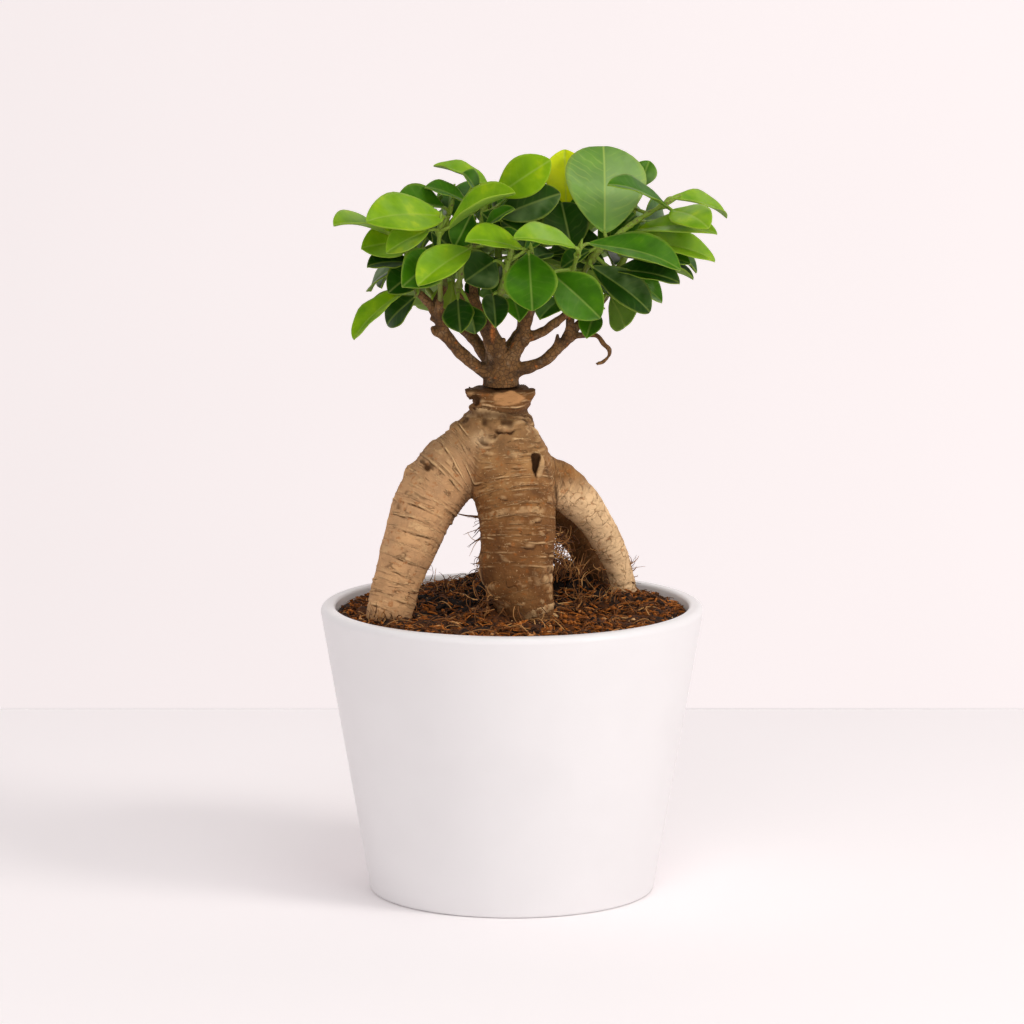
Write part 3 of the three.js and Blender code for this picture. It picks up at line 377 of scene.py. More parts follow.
@dataclass(frozen=True)
class BrownTwigBark(Finish):
    """Dry grown bark of the grafted crown: rough mid brown, greyish on the knots, reddish in the cracks."""

    name: str = "brown_twig_bark"
    roughness: float = 0.82
    ior: float = 1.45
    bark: str = "#785228"
    fair: str = "#86643f"
    dark: str = "#3b2612"
    lichen: str = "#8c7358"
    scar: str = "#a9601f"
    torn: str = "#c4702c"
    crack_size: float = 1.7

    def dress(self, surface: Surface) -> None:
        """Mix dark cracks, grey lichen and a few orange scars into the brown."""
        colour = surface.grain(5.0, 4.0).ramp([(0.3, self.dark), (0.52, self.bark), (0.72, self.fair)])
        crack = surface.cells(self.crack_size, surface.place()).span(0.12, 0.0)
        for amount, shade in (
            (surface.grain(3.1, 4.0, 9.0).span(0.56, 0.72) * 0.7, self.lichen),
            (surface.grain(4.2, 2.0, 4.0).span(0.66, 0.72) * 0.8, self.scar),
            (surface.mark("streak") * 0.9, self.torn),
            (crack * 0.6, self.dark),
        ):
            colour = colour.tinted(amount, shade)
        surface.wear({"Base Color": colour})
        surface.relief(surface.grain(1.2, 4.0, 6.0) - crack * 0.5, 0.5, 0.8)


@dataclass(frozen=True)
class BeigeRootBark(Finish):
    """Thin grown bark of swollen roots: warm brown, banded crosswise by corky lips and fine cracks.

    It reads as dry and rough, with light dashes and dark lines round each root, orange flecks, one cream root
    that is cracked like dry clay, and dark soil stains low down. Shade is painted into its creases,
    under its ridges and on the back root.
    """

    name: str = "beige_root_bark"
    roughness: float = 0.8
    ior: float = 1.45
    ridge_spacing: float = 4.7
    fine_spacing: float = 2.1
    clay_cell: float = 4.4
    dark: str = "#5e3b1d"
    mid: str = "#8f6032"
    light: str = "#b5844e"
    brown: str = "#694323"
    grey: str = "#8c6c4a"
    fair: str = "#dcae80"
    orange: str = "#9c5820"
    cream: str = "#edc899"
    crack: str = "#4a2f18"
    clay_crack: str = "#8c6038"
    lip: str = "#dcb583"
    stub: str = "#714824"
    cut_wood: str = "#bf8b5a"
    soil_stain_and_shade: str = "#2a180b"

    def dress(self, surface: Surface) -> None:
        """Lay region tones, then smudges, flecks, dashes, cracks, soil stains and painted shade."""
        clouds = surface.grain(8.0, 5.0)
        lips = self.banded(surface, 4.4, 0.7, 3.0, 5.0).span(0.58, 0.66)
        lines, net = self.lines(surface), self.net(surface)
        ridge, shade = self.ridge(surface, "ridge", self.ridge_spacing)
        fine, fine_shade = self.ridge(surface, "fine", self.fine_spacing)
        colour = clouds.ramp([(0.3, self.dark), (0.47, self.mid), (0.66, self.light)])
        for amount, laid in (
            (surface.mark("brown") * 0.7, self.brown),
            (surface.mark("fair") * 0.62, self.fair),
            (surface.mark("upper") * 0.75, self.grey),
            (surface.mark("stub") * 0.8, self.stub),
            (surface.mark("pale") * 0.88, self.cream),
            (self.banded(surface, 7.0, 3.4, 3.0, 1.0).span(0.52, 0.74) * 0.34, self.dark),
            (surface.grain(2.4, 3.0, 2.0).span(0.6, 0.68) * 0.5, self.orange),
            (lips * 0.42, self.lip),
            (surface.grain(0.75, 1.0, 11.0).span(0.68, 0.74) * 0.5, self.lip),
            (lines * 0.5, self.crack),
            (net * 0.62, self.clay_crack),
            # Painted shade under the ridges, in the crack colour.
            (fine_shade * 0.4, self.crack),
            (fine * 0.4, self.lip),
            (shade * 0.8, self.crack),
            (ridge * 0.8, self.lip),
            (surface.mark("raised") * 0.9, self.lip),
            (surface.mark("cut") * 0.95, self.cut_wood),
            # Painted shade in the valleys, slot, waist, collar gaps and scars, in the crack colour.
            ((surface.mark("crease") + clouds * 0.3).span(0.3, 1.0), self.crack),
            # Soil stains low down, and painted shade on the back root.
            ((surface.mark("stain") + clouds * 0.6).span(0.6, 1.2), self.soil_stain_and_shade),
        ):
            colour = colour.tinted(amount, laid)
        surface.wear({"Base Color": colour, "Specular IOR Level": 0.2})
        rise = surface.grain(1.1, 4.0, 8.0) + lips * 0.6
        surface.relief(rise - (lines * 0.8 + net * 0.5), 0.5, 0.8)

    def ridge(self, surface: Surface, name: str, spacing: float) -> tuple[Pattern, Pattern]:
        """Give the crisp line of one set of ridges, and the thin painted shade under it.

        Args:
            surface: The material.
            name: The start of the set's marks.
            spacing: Millimetres from ridge to ridge.

        Returns:
            How far a place is on a ridge, and how far it is in the painted shade under one.
        """
        below = ((surface.mark(name + "_course") + 0.5).maths("FRACT") - 0.5) * spacing
        whole = surface.mark(name + "_whole") * surface.grain(2.6, 2.0, 21.0).span(0.36, 0.52)
        return abs(below).span(0.4, 0.16) * whole, abs(below - 0.6).span(0.42, 0.08) * whole

    def banded(self, surface: Surface, length: float, width: float, detail: float, seed: float) -> Pattern:
        """Give a pattern that is drawn out round each root, near 0.5 on average.

        Args:
            surface: The material.
            length: How far one streak runs round the root, in millimetres.
            width: How far it runs along the root, in millimetres.
            detail: How many finer octaves are added.
            seed: Moves the pattern.

        Returns:
            The pattern.
        """
        scaled = {"operation": "SCALE", "Scale": 1 / (length * MM), 0: surface.place()}
        return surface.output("TexNoise", "Fac", {
            "noise_dimensions": "4D", "Scale": 1.0, "Detail": detail,
            "Vector": surface.output("VectorMath", 0, scaled), "W": surface.mark("ring") / width + seed * 9.7,
        })

    def lines(self, surface: Surface) -> Pattern:
        """Give thin broken cracks that run round every root: 1 in a crack and 0 between cracks."""
        crack = abs(self.banded(surface, 12.0, 2.0, 2.0, 2.0) - 0.5).span(0.02, 0.004)
        return crack * self.banded(surface, 5.0, 5.0, 2.0, 7.0).span(0.48, 0.58)

    def net(self, surface: Surface) -> Pattern:
        """Give the net of fine cracks on the cream root, like dry clay: 1 in a crack and 0 between."""
        wander = surface.output("TexNoise", "Color", {"Scale": 350.0, "Vector": surface.place()})
        step = surface.output("VectorMath", 0, {"operation": "SCALE", "Scale": 0.004, 0: wander})
        swayed = surface.output("VectorMath", 0, {"operation": "ADD", 0: surface.place(), 1: step})
        broken = surface.grain(4.0, 2.0, 15.0).span(0.4, 0.55)
        return surface.cells(self.clay_cell, swayed).span(0.055, 0.012) * broken * surface.mark("pale")


@dataclass(frozen=True)
class PeatAndBarkMix(Finish):
    """Loose potting mix of peat and composted bark: matt, nearly black in the gaps, red-brown on chips."""

    name: str = "peat_and_bark_mix"
    roughness: float = 0.95
    ior: float = 1.4
    shades: Stops = ((0.05, "#180c05"), (0.4, "#7c4412"), (0.7, "#b96a22"), (1.0, "#dcb884"))

    def dress(self, surface: Surface) -> None:
        """Colour each crumb by its own shade, with dark fine grain between."""
        shade = surface.mark("shade") + (surface.grain(1.5, 4.0) * 0.5 - 0.25)
        surface.wear({"Base Color": shade.ramp(self.shades)})
        surface.relief(surface.grain(0.9, 4.0, 3.0), 0.6, 0.9)


@dataclass(frozen=True)
class HairRoot(Finish):
    """Dead fine roots: dull tan to brown threads."""

    name: str = "hair_root"
    roughness: float = 0.8
    ior: float = 1.45
    shades: Stops = ((0.0, "#42240d"), (0.5, "#925c28"), (1.0, "#cc9a5e"))

    def dress(self, surface: Surface) -> None:
        """Give each thread its own shade of tan or brown."""
        surface.wear({"Base Color": surface.mark("shade").ramp(self.shades)})


@dataclass(frozen=True)
class PaleStudioFloor(Finish):
    """Matt painted studio board, a hardly pink white."""

    name: str = "pale_studio_floor"
    roughness: float = 0.75
    ior: float = 1.45
    paint: str = "#fdf9fa"
    thin_paint: str = "#fbf7f8"
    cloud_size: float = 300.0

    def dress(self, surface: Surface) -> None:
        """Set the paint, with the faintest cloud so that it isn't dead flat."""
        cloud = surface.grain(self.cloud_size, 1.0).span(0.3, 0.7)
        paint = cloud.ramp([(0.0, self.paint), (1.0, self.thin_paint)])
        surface.wear({"Base Color": paint, "Specular IOR Level": 0.15})


@dataclass(frozen=True)
class GlowingBackdropPaper(PaleStudioFloor):
    """Matt paper far behind the table, glowing with its own painted light so that it stays pale and even."""

    name: str = "glowing_backdrop_paper"
    glow: str = "#fff0ef"
    glow_strengths: tuple[float, float] = (0.27, 0.34)
    glow_reach: float = 0.45

    def dress(self, surface: Surface) -> None:
        """Add the paper's own light to the paint, a little stronger towards the right."""
        super().dress(surface)
        aside = surface.output("SeparateXYZ", "X", {"Vector": surface.place()})
        strength = aside.span(-self.glow_reach, self.glow_reach, *self.glow_strengths)
        surface.wear({"Emission Color": linear(self.glow), "Emission Strength": strength})


# Each root is a chain of points with its radius there, from the body down into the soil.
BODY: Chain = (
    (-3.8, 0, 183, 10.8), (-4.2, 0, 176, 10.4), (-5.5, -1, 168, 13.5), (-2, -4, 158, 14.5),
)
LEFT_ROOT: Chain = (
    (-9, -1, 163, 12), (-22, -4, 156.5, 12.2), (-31, -7, 145, 11.8), (-36.5, -11, 131, 10.3),
    (-41.5, -14, 117, 8.6), (-44.5, -16, 106, 8.3), (-46, -17, 92, 6.5),
)
CENTRE_ROOT: Chain = (
    (-1, -5, 158, 15), (1.5, -10, 145, 14.2), (2, -13, 134, 13.6), (1.6, -15, 122, 13.2),
    (4.5, -17, 111, 10.6), (7, -18, 103, 8), (8, -18, 92, 6.5),
)
RIGHT_ROOT: Chain = (
    (4, 0, 152, 9.5), (17, 1, 150, 8.6), (27, 4, 140.5, 7), (34, 8, 129.5, 5.8),
    (39, 11, 118, 4.8), (41.3, 12, 108, 4.6), (42, 12, 92, 4),
)
BACK_ROOT: Chain = (
    (0, 4, 158, 12), (8, 15, 146, 9.5), (20, 22, 133, 7.5), (28, 25, 121, 6.2),
    (31, 26, 109, 6), (32, 26, 92, 4.5),
)
# Knots and scars that stand out of the root stock: a point and a radius.
KNOTS: Chain = (
    (-2, -10.6, 172.5, 3.4), (-18.5, -3, 169.5, 3.6), (-14.2, -4, 185, 2), (6, -3, 184.6, 2.2),
    (3.4, -9, 172, 2), (9.6, -13.6, 160, 2.4), (-46.5, -19.5, 106, 5),
)

# The grafted wood: limbs are chains of points with radii. A shoot stands on the limb it is named for.
LIMBS: dict[str, Chain] = {
    "neck": ((-4, 1.5, 186.3, 6.8), (-4, 1.5, 189.5, 5.9), (-4.4, 1.2, 194, 5.2)),
    "left_main": (
        (-6, 0.5, 190.5, 3.4), (-11.6, -1, 193, 2.5), (-16.3, -2.5, 196.9, 2.3), (-21.2, -4, 202, 2.2),
        (-24.3, -5, 206.6, 2), (-26, -6, 211.5, 1.9), (-28.7, -7, 216, 1.7), (-33, -9, 221, 1.5),
    ),
    "left_front": ((-26, -6, 211, 1.7), (-26.5, -9.5, 215, 1.5), (-26, -12, 219, 1.4)),
    "left_back": ((-28.2, -6.8, 214.8, 1.6), (-27, -3.5, 218.5, 1.5), (-25, -1, 222, 1.4)),
    "stem": (
        (-4.8, 1, 192, 5), (-5.2, 0.8, 196.5, 4.4), (-6.2, 0, 201.2, 3.7), (-8.8, -1, 207.4, 2.9),
        (-11.6, -2, 213.3, 2.4), (-14.3, -3, 217.5, 1.9), (-18.5, -6, 221, 1.5),
    ),
    "stem_top": ((-13.4, -2.6, 216, 1.9), (-14, -0.5, 222, 1.7), (-14, 2, 230, 1.5)),
    "stem_back": ((-9.2, -1, 208.5, 2.2), (-6.5, 5, 215, 1.8), (-5, 10, 223, 1.5)),
    "stem_front": ((-8.4, -1.2, 206.5, 2.1), (-6, -6, 213, 1.6), (-4.5, -10, 219, 1.4)),
    "centre": (
        (-1.6, 0.2, 192.5, 3.6), (0.8, -1, 198.7, 2.7), (3.5, -2, 204.9, 2.3), (5.1, -3, 209.6, 2),
        (6.3, -5, 214, 1.7), (7, -7, 219, 1.5),
    ),
    "centre_top": ((5.2, -3.2, 210, 1.8), (6, 0.5, 217, 1.6), (6, 4, 226, 1.5)),
    "centre_right": (
        (3.2, -1.8, 203.8, 2.1), (10.8, -4, 206.7, 1.7), (14.8, -6, 209.8, 1.6), (19.3, -8, 213.4, 1.5),
        (22, -10, 217, 1.4),
    ),
    "right": (
        (-1.2, 0.4, 191, 3.6), (2.8, -0.5, 192.6, 2.7), (7.1, -1, 193.8, 2.3), (11.9, -1, 196.1, 2.1),
        (17.3, 0, 200.9, 2), (20.8, 0.6, 205, 1.8), (21.2, -1, 213, 1.5), (22, -1, 220, 1.4),
    ),
    "right_outer": ((20.6, 0.6, 204.4, 1.8), (26.6, 4, 211.2, 1.5), (33, 7, 217, 1.4)),
    "back_right": (
        (-3.6, 3, 191, 3.4), (-2.4, 9, 197, 2.4), (3, 17, 204, 2.1), (6.4, 24, 210, 1.7), (10, 30, 216, 1.5),
    ),
    "back_top": ((4, 18.5, 205.4, 1.9), (3.4, 22, 212, 1.6), (2, 24, 218, 1.4)),
    "back_left": ((-5.6, 3, 192, 3.2), (-12.6, 10, 200.6, 2.2), (-20.4, 16, 208.4, 1.8), (-28, 20, 216, 1.5)),
    "back_left_top": ((-17.6, 14, 205.6, 1.8), (-17.4, 18, 212, 1.6), (-16, 22, 218, 1.4)),
}
# Pruned stubs and the dead twig that curls down on the right.
SNAGS: tuple[Chain, ...] = (
    ((-24.6, -5, 205, 1.4), (-27.6, -5.4, 206.4, 1.1), (-28.6, -5.6, 208.2, 1)),
    ((-26.6, -6, 211.4, 1.4), (-29.2, -6.6, 211.8, 0.8)),
    ((-4.4, -2, 198.8, 1.8), (-3.1, -3, 203.6, 0.9)),
    ((2.2, -2, 200.6, 1.8), (5.4, -4, 202.6, 0.8)),
    ((16.6, -0.4, 200.6, 1.4), (16.6, -1.8, 205.2, 0.8)),
    ((-14.6, -3, 217.4, 1.4), (-17.6, -3.4, 218.6, 1.3)),
    (
        (20.4, 0.6, 204.4, 1.6), (24, -0.4, 205, 1.2), (30.5, -2, 205.3, 0.95), (33.1, -3, 202.6, 0.85),
        (35.4, -3, 200.2, 0.95), (35.1, -3, 198, 0.7), (33.1, -2, 195.6, 0.6), (30.9, -2, 194.9, 0.45),
    ),
)

# A shoot continues the limb it is named for: the rest of its path, and how many hidden leaves it may carry.
SHOOTS: dict[str, tuple[Chain, int]] = {
    "left_main": (((-35, -9, 227), (-37, -8.5, 234), (-39.5, -8, 241)), 5),
    "left_front": (((-26, -16, 228), (-26.5, -18.5, 237), (-26, -18, 245)), 6),
    "left_back": (((-26, 1, 232), (-25, 1, 242), (-23, -0.5, 249)), 9),
    "stem": (((-18.5, -9, 228), (-17, -12.5, 236), (-15.5, -13, 245)), 9),
    "stem_top": (((-12.5, 0.5, 240), (-10.5, -2.5, 249), (-8.5, -4, 255)), 10),
    "stem_back": (((-5, 14, 233), (-4, 16, 244)), 10),
    "stem_front": (((-3, -14, 227), (-1, -18, 235)), 7),
    "centre": (((7.5, -13, 227), (7, -20, 236)), 6),
    "centre_top": (((8, 4.5, 236), (12, 5, 246)), 11),
    "centre_right": (((21, -13.5, 224), (22, -18.5, 231), (23.5, -22, 237)), 5),
    "right": (((26, -6, 229), (31, -11, 237), (38, -11.5, 243), (46, -9, 248.5), (55, -6.5, 253.5)), 8),
    "right_outer": (((37, 7, 225), (41, 5, 233), (43.5, 5, 242), (44.5, 6.5, 251)), 10),
    "back_right": (((14, 35, 225), (17, 37, 235)), 8),
    "back_top": (((1, 27, 230), (2, 27, 243)), 9),
    "back_left": (((-35, 23, 225), (-39, 24, 235)), 8),
    "back_left_top": (((-17, 25, 229), (-17, 24, 242)), 9),
}


class Tone(Enum):
    """A leaf's tone: how old it is, with painted light and shade; its place from dark to yellow-green."""

    DARK = 0.12
    GREY = 0.32
    MID = 0.42
    SHEEN = 0.5
    BRIGHT = 0.74
    YOUNG = 0.97


# The leaves that the front view shows: stalk end of the blade, tip, width, the degrees its face leans from
# straight up to straight forward, and its tone, which holds painted light and shade as well.
SEEN_LEAVES: tuple[tuple[Sequence[float], Sequence[float], float, float, Tone], ...] = (
    ((-45.6, -8, 243.4), (-65.5, -12, 245.4), 15, 30, Tone.BRIGHT),
    ((-24.1, -14, 249.9), (-54.4, -24, 248.0), 19, 36, Tone.BRIGHT),
    ((-24.2, -3, 252.0), (-42.3, -9, 253.6), 13, 34, Tone.MID),
    ((-16.1, -2, 253.6), (-31.5, -5, 259.5), 10, 25, Tone.MID),
    ((-7.9, -2, 258.8), (-25.9, -7, 269.0), 11, 22, Tone.BRIGHT),
    ((-12.4, -7, 257.3), (-20.3, -10, 263.3), 9, 50, Tone.GREY),
    ((-22.6, -21, 246.6), (-1.1, -15, 257.4), 16, 28, Tone.BRIGHT),
    ((-5.6, -8, 256.8), (14.2, -4, 269.2), 15, 65, Tone.BRIGHT),
    ((19.7, 6, 251.8), (19.1, 10, 271.8), 16, 80, Tone.YOUNG),
    ((33.3, -13, 243.7), (32.7, -5, 275.8), 30, 84, Tone.SHEEN),
    ((46.0, 8, 257.9), (50.0, 11, 267.5), 9, 80, Tone.MID),
    ((56.5, -9, 252.7), (33.6, -19, 261.5), 14, 38, Tone.MID),
    ((57.1, -6, 256.0), (78.0, -7, 250.1), 13, 32, Tone.BRIGHT),
    ((57.4, -8, 251.7), (70.2, -18, 245.0), 14, 60, Tone.BRIGHT),
    ((42.3, -3, 243.6), (72.2, -9, 242.0), 13, 18, Tone.BRIGHT),
    ((37.2, -11, 241.1), (73.3, -14, 234.6), 13, 22, Tone.BRIGHT),
    ((27.0, -20, 240.9), (60.2, -31, 232.5), 17, 26, Tone.MID),
    ((39.1, -4, 234.7), (64.4, -12, 230.6), 13, 24, Tone.MID),
    ((37.2, -12, 230.2), (60.2, -19, 228.3), 13, 22, Tone.DARK),
    ((28.6, -14, 231.8), (50.2, -25, 217.5), 14, 38, Tone.DARK),
    ((37.4, 2, 226.7), (54.1, -6, 218.7), 12, 45, Tone.MID),
    ((32.9, 0, 224.2), (43.6, -8, 217.0), 12, 50, Tone.MID),
    ((36.0, 3, 219.0), (38.5, -7, 207.0), 12, -70, Tone.GREY),
    ((14.7, -22, 230.0), (31.7, -29, 215.0), 17, 72, Tone.MID),
    ((6.0, -26, 238.2), (7.3, -37, 218.7), 19.5, 76, Tone.MID),
    ((-6.1, -12, 233.8), (-15.9, -20, 228.5), 16, 70, Tone.DARK),
    ((23.1, -27, 240.1), (0.5, -38, 244.8), 13, 32, Tone.BRIGHT),
    ((4.0, -24, 239.4), (-16.7, -34, 243.4), 14, 34, Tone.BRIGHT),
    ((21.9, -8, 236.1), (17.9, -1, 253.6), 18, 80, Tone.DARK),
    ((-4.7, -7, 249.1), (17.5, -9, 257.8), 14, 60, Tone.DARK),
    ((-15.0, -20, 238.9), (-33.5, -36, 227.5), 15, 44, Tone.BRIGHT),
    ((-25.9, -14, 235.9), (-37.3, -24, 228.0), 16, 65, Tone.MID),
    ((-36.3, -8, 232.4), (-52.3, -15, 231.9), 12, 20, Tone.DARK),
    ((-34.1, -8, 229.7), (-43.0, -14, 224.8), 12, 50, Tone.DARK),
    ((-38.2, -10, 223.1), (-56.6, -20, 206.9), 11, 30, Tone.BRIGHT),
    ((-34.5, -12.5, 221.0), (-45.6, -17, 211.8), 11, 45, Tone.DARK),
    ((-29.4, -22, 246.0), (-45.0, -28, 238.8), 11, 38, Tone.BRIGHT),
    ((-36.9, -2, 239.0), (-53.5, -6, 235.8), 14, 50, Tone.BRIGHT),
    ((-21.6, 6, 224.4), (-22.5, 0, 214.5), 14, -60, Tone.YOUNG),
    ((-8.9, 4, 223.7), (-9.0, -2, 216.0), 10, 80, Tone.MID),
    ((-19.5, -11.5, 220.0), (-20.3, -18, 210.0), 12, 75, Tone.DARK),
    ((-15.5, -11, 217.5), (-13.3, -17, 207.8), 10, 75, Tone.DARK),
    ((-7.0, -13, 221.5), (-5.6, -18, 209.4), 10, 80, Tone.DARK),
    ((0.2, -9, 220.0), (2.0, -15, 210.8), 10, 70, Tone.MID),
    ((17.4, -4, 218.7), (7.6, -13, 215.4), 11, 40, Tone.GREY),
    ((30.5, 1, 214.0), (29.5, -3, 205.7), 9, 80, Tone.MID),
    ((-14.5, -13.5, 251.0), (-20.5, -19, 241.0), 11, 65, Tone.GREY),
    ((-3.5, 0, 240.0), (-11.5, -5, 251.0), 12, 60, Tone.DARK),
    ((-18.5, -2, 233.0), (-29.0, -7, 243.5), 13, 60, Tone.DARK),
    ((9.5, 0, 232.0), (0.5, -5, 241.5), 13, 60, Tone.DARK),
)


def unit(vector: np.ndarray) -> np.ndarray:
    """Scale vectors along the last axis to length 1."""
    length = np.linalg.norm(vector, axis=-1, keepdims=True)
    return vector / np.maximum(length, 1e-12)


def along_chain(chain: Chain | np.ndarray, steps: int) -> np.ndarray:
    """Give points along a smooth curve through a chain.

    Args:
        chain: Rows of x, y, z and perhaps a radius.
        steps: Steps taken over each span between rows.

    Returns:
        The rows of the curve, ends included.
    """
    rows = np.asarray(chain, float)
    found = [rows[0]]
    for span in range(len(rows) - 1):
        a, b, c, d = [rows[min(max(i, 0), len(rows) - 1)] for i in range(span - 1, span + 3)]
        for step in range(1, steps + 1):
            t = step / steps
            bend, twist = 2 * a - 5 * b + 4 * c - d, 3 * b - a - 3 * c + d
            found.append(0.5 * (2 * b + (c - a) * t + bend * t * t + twist * t**3))
    return np.array(found)


def soft_noise(points: np.ndarray, size: float, seed: float = 0.0) -> np.ndarray:
    """Give smooth cloudy values from -1 to 1.

    Args:
        points: Rows of coordinates in millimetres, three or four to a row.
        size: Width of one cloud in millimetres.
        seed: Moves the pattern.

    Returns:
        One value for each point.
    """
    place = points / size + 17.31 * seed + 0.37
    cell = np.floor(place)
    share = place - cell
    share = share * share * (3 - 2 * share)
    axes = points.shape[1]
    total = np.zeros(len(points))
    for corner in range(2**axes):
        step = np.array([corner >> axis & 1 for axis in range(axes)])
        weight = np.prod(np.where(step, share, 1 - share), axis=1)
        mixed = np.sin((cell + step) @ np.array([127.1, 311.7, 74.7, 191.3])[:axes]) * 43758.5453
        total += weight * (mixed - np.floor(mixed))
    return 2 * total - 1


def held(values: np.ndarray | float) -> np.ndarray:
    """Keep values between 0 and 1."""
    return np.clip(values, 0, 1)


def rising(values: np.ndarray | float, full: float) -> np.ndarray:
    """Go from 0 to 1 as the values go from 0 to a full value."""
    return held(values / full)


def bell(offset: np.ndarray, width: float) -> np.ndarray:
    """Give a bell curve: 1 where the offset is 0 and hardly anything two widths off."""
    return np.exp(-((offset / width) ** 2))


@dataclass
class Draft:
    """A mesh being drawn up: points in millimetres, faces, and the marks that its finish reads."""

    name: str
    points: list[np.ndarray] = field(default_factory=list)
    faces: list[Sequence[int]] = field(default_factory=list)
    slots: list[int] = field(default_factory=list)
    marks: dict[str, list[np.ndarray]] = field(default_factory=dict)
    count: int = 0

    def add(self, points: np.ndarray, faces: Iterable[Sequence[int]], slot: int = 0, **marks: object) -> None:
        """Add a closed body with its own marks.

        Args:
            points: Rows of x, y, z.
            faces: Corner numbers, counted from the body's first point.
            slot: Which of the piece's finishes it has.
            marks: One value, or one for each point, by the mark's name.
        """
        added = [[corner + self.count for corner in face] for face in faces]
        self.points.append(points)
        self.faces.extend(added)
        self.slots.extend([slot] * len(added))
        for name in set(self.marks) | set(marks):
            known = self.marks.setdefault(name, [np.zeros(self.count)] if self.count else [])
            known.append(np.broadcast_to(np.asarray(marks.get(name, 0.0), float), len(points)))
        self.count += len(points)

    def made(self, finishes: Sequence[Finish], node: str | None) -> bpy.types.Object:
        """Turn the draft into a piece in the scene.

        Args:
            finishes: What its surfaces are made of.
            node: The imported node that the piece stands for, or None.

        Returns:
            The new object, riding on the plant.
        """
        mesh = bpy.data.meshes.new(self.name)
        low, high = np.array(CAD_BOX)
        inside = np.clip(np.concatenate(self.points) * MM, low + BOX_MARGIN, high - BOX_MARGIN)
        mesh.from_pydata(inside.tolist(), [], self.faces)
        mesh.polygons.foreach_set("use_smooth", np.ones(len(self.faces), bool))
        mesh.polygons.foreach_set("material_index", np.array(self.slots, np.int32))
        for name, values in self.marks.items():
            mesh.attributes.new(name, "FLOAT", "POINT").data.foreach_set(
                "value", np.concatenate(values).astype(np.float32))
        for finish in finishes:
            mesh.materials.append(finish.material())
        mesh.update()
        piece = bpy.data.objects.new(self.name, mesh)
        bpy.context.scene.collection.objects.link(piece)
        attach(piece, "root")
        if node:
            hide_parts(node)
        LOG.info("%s: %d points, %d faces", self.name, self.count, len(self.faces))
        return piece


def ring_faces(rings: int, sides: int) -> list[list[int]]:
    """Join rings of points into a closed tube with a flat or pointed cap at each end."""
    faces = []
    for ring in range(rings - 1):
        for side in range(sides):
            a, b = ring * sides + side, ring * sides + (side + 1) % sides
            faces.append([a, b, b + sides, a + sides])
    faces.append(list(range(sides))[::-1])
    last = (rings - 1) * sides
    faces.append([last + side for side in range(sides)])
    return faces


def tube(path: np.ndarray, radii: np.ndarray, sides: int) -> tuple[np.ndarray, list[list[int]]]:
    """Sweep a circle along a path.

    Args:
        path: Rows of x, y, z.
        radii: The radius at each row.
        sides: Points on each circle.

    Returns:
        The tube's points and faces.
    """
    ahead = np.vstack([path[1:], path[-1:]])
    behind = np.vstack([path[:1], path[:-1]])
    along = unit(ahead - behind)
    side = unit(np.cross([1.0, 0.3, 0.1], along[0]))
    angles = np.arange(sides) / sides * FULL_TURN
    rings = []
    for row, direction, radius in zip(path, along, radii):
        side = unit(side - np.dot(side, direction) * direction)
        other = np.cross(direction, side)
        rings.append(row + radius * (np.cos(angles)[:, None] * side + np.sin(angles)[:, None] * other))
    return np.concatenate(rings), ring_faces(len(path), sides)


@dataclass
class Leaf:
    """One leaf: where its stalk starts, where its blade starts and ends, its width and where it looks."""

    shoot: str
    foot: np.ndarray
    base: np.ndarray
    tip: np.ndarray
    width: float
    face: np.ndarray
    tone: float = 0.4
    roll: float = 0.0
    arch: float = 0.05
    fold: float = 0.2
    cup: float = 0.0
    tipward: float = 0.0
    full: float = 0.72
    fullest: float = 1.22

    @property
    def length(self) -> float:
        """The blade's length."""
        return float(np.linalg.norm(self.tip - self.base))

    @property
    def middle(self) -> np.ndarray:
        """Halfway along the blade."""
        return (self.base + self.tip) / 2

    @property
    def centre(self) -> np.ndarray:
        """The middle of the blade's fullest place, on its midrib."""
        return self.points(np.array([0.54]), np.array([0.0]))[0]

    def axes(self) -> tuple[np.ndarray, np.ndarray, np.ndarray]:
        """Give the directions along the blade, across it and out of its face."""
        along = unit(self.tip - self.base)
        flat = unit(self.face - np.dot(self.face, along) * along)
        side = np.cross(flat, along)
        out = flat * math.cos(self.roll) + side * math.sin(self.roll)
        across = side * math.cos(self.roll) - flat * math.sin(self.roll)
        return along, across, out

    def half(self, u: np.ndarray) -> np.ndarray:
        """Give half the blade's width at shares of its length."""
        return self.width / 2 * blade_share(u, self.full, self.fullest)

    def points(self, u: np.ndarray, v: np.ndarray, lift: np.ndarray | float = 0.0) -> np.ndarray:
        """Give points of the blade.

        Args:
            u: Shares of the way from stalk end to tip.
            v: Places across, from -1 to 1.
            lift: Height out of the face.

        Returns:
            Rows of x, y, z.
        """
        along, across, out = self.axes()
        half = self.half(u)
        height = self.arch * self.length * 4 * u * (1 - u) * (1 + self.tipward * (u - 0.5)) + lift
        height += self.fold * half * np.abs(v) + self.cup * half * v**2
        flat = self.base + np.outer(self.length * u, along) + np.outer(half * v, across)
        return flat + np.outer(height, out)


def blade_share(u: np.ndarray, full: float = 0.72, fullest: float = 1.22) -> np.ndarray:
    """Give half the blade's width at a share of its length, as a share of its greatest half.

    Args:
        u: Shares of the way from stalk end to tip.
        full: How full the blade stays towards its ends; less is fuller.
        fullest: Moves the widest place towards the tip.

    Returns:
        Shares from 0 to 1.
    """
    return np.maximum(np.sin(math.pi * np.asarray(u, float) ** fullest), 0) ** full


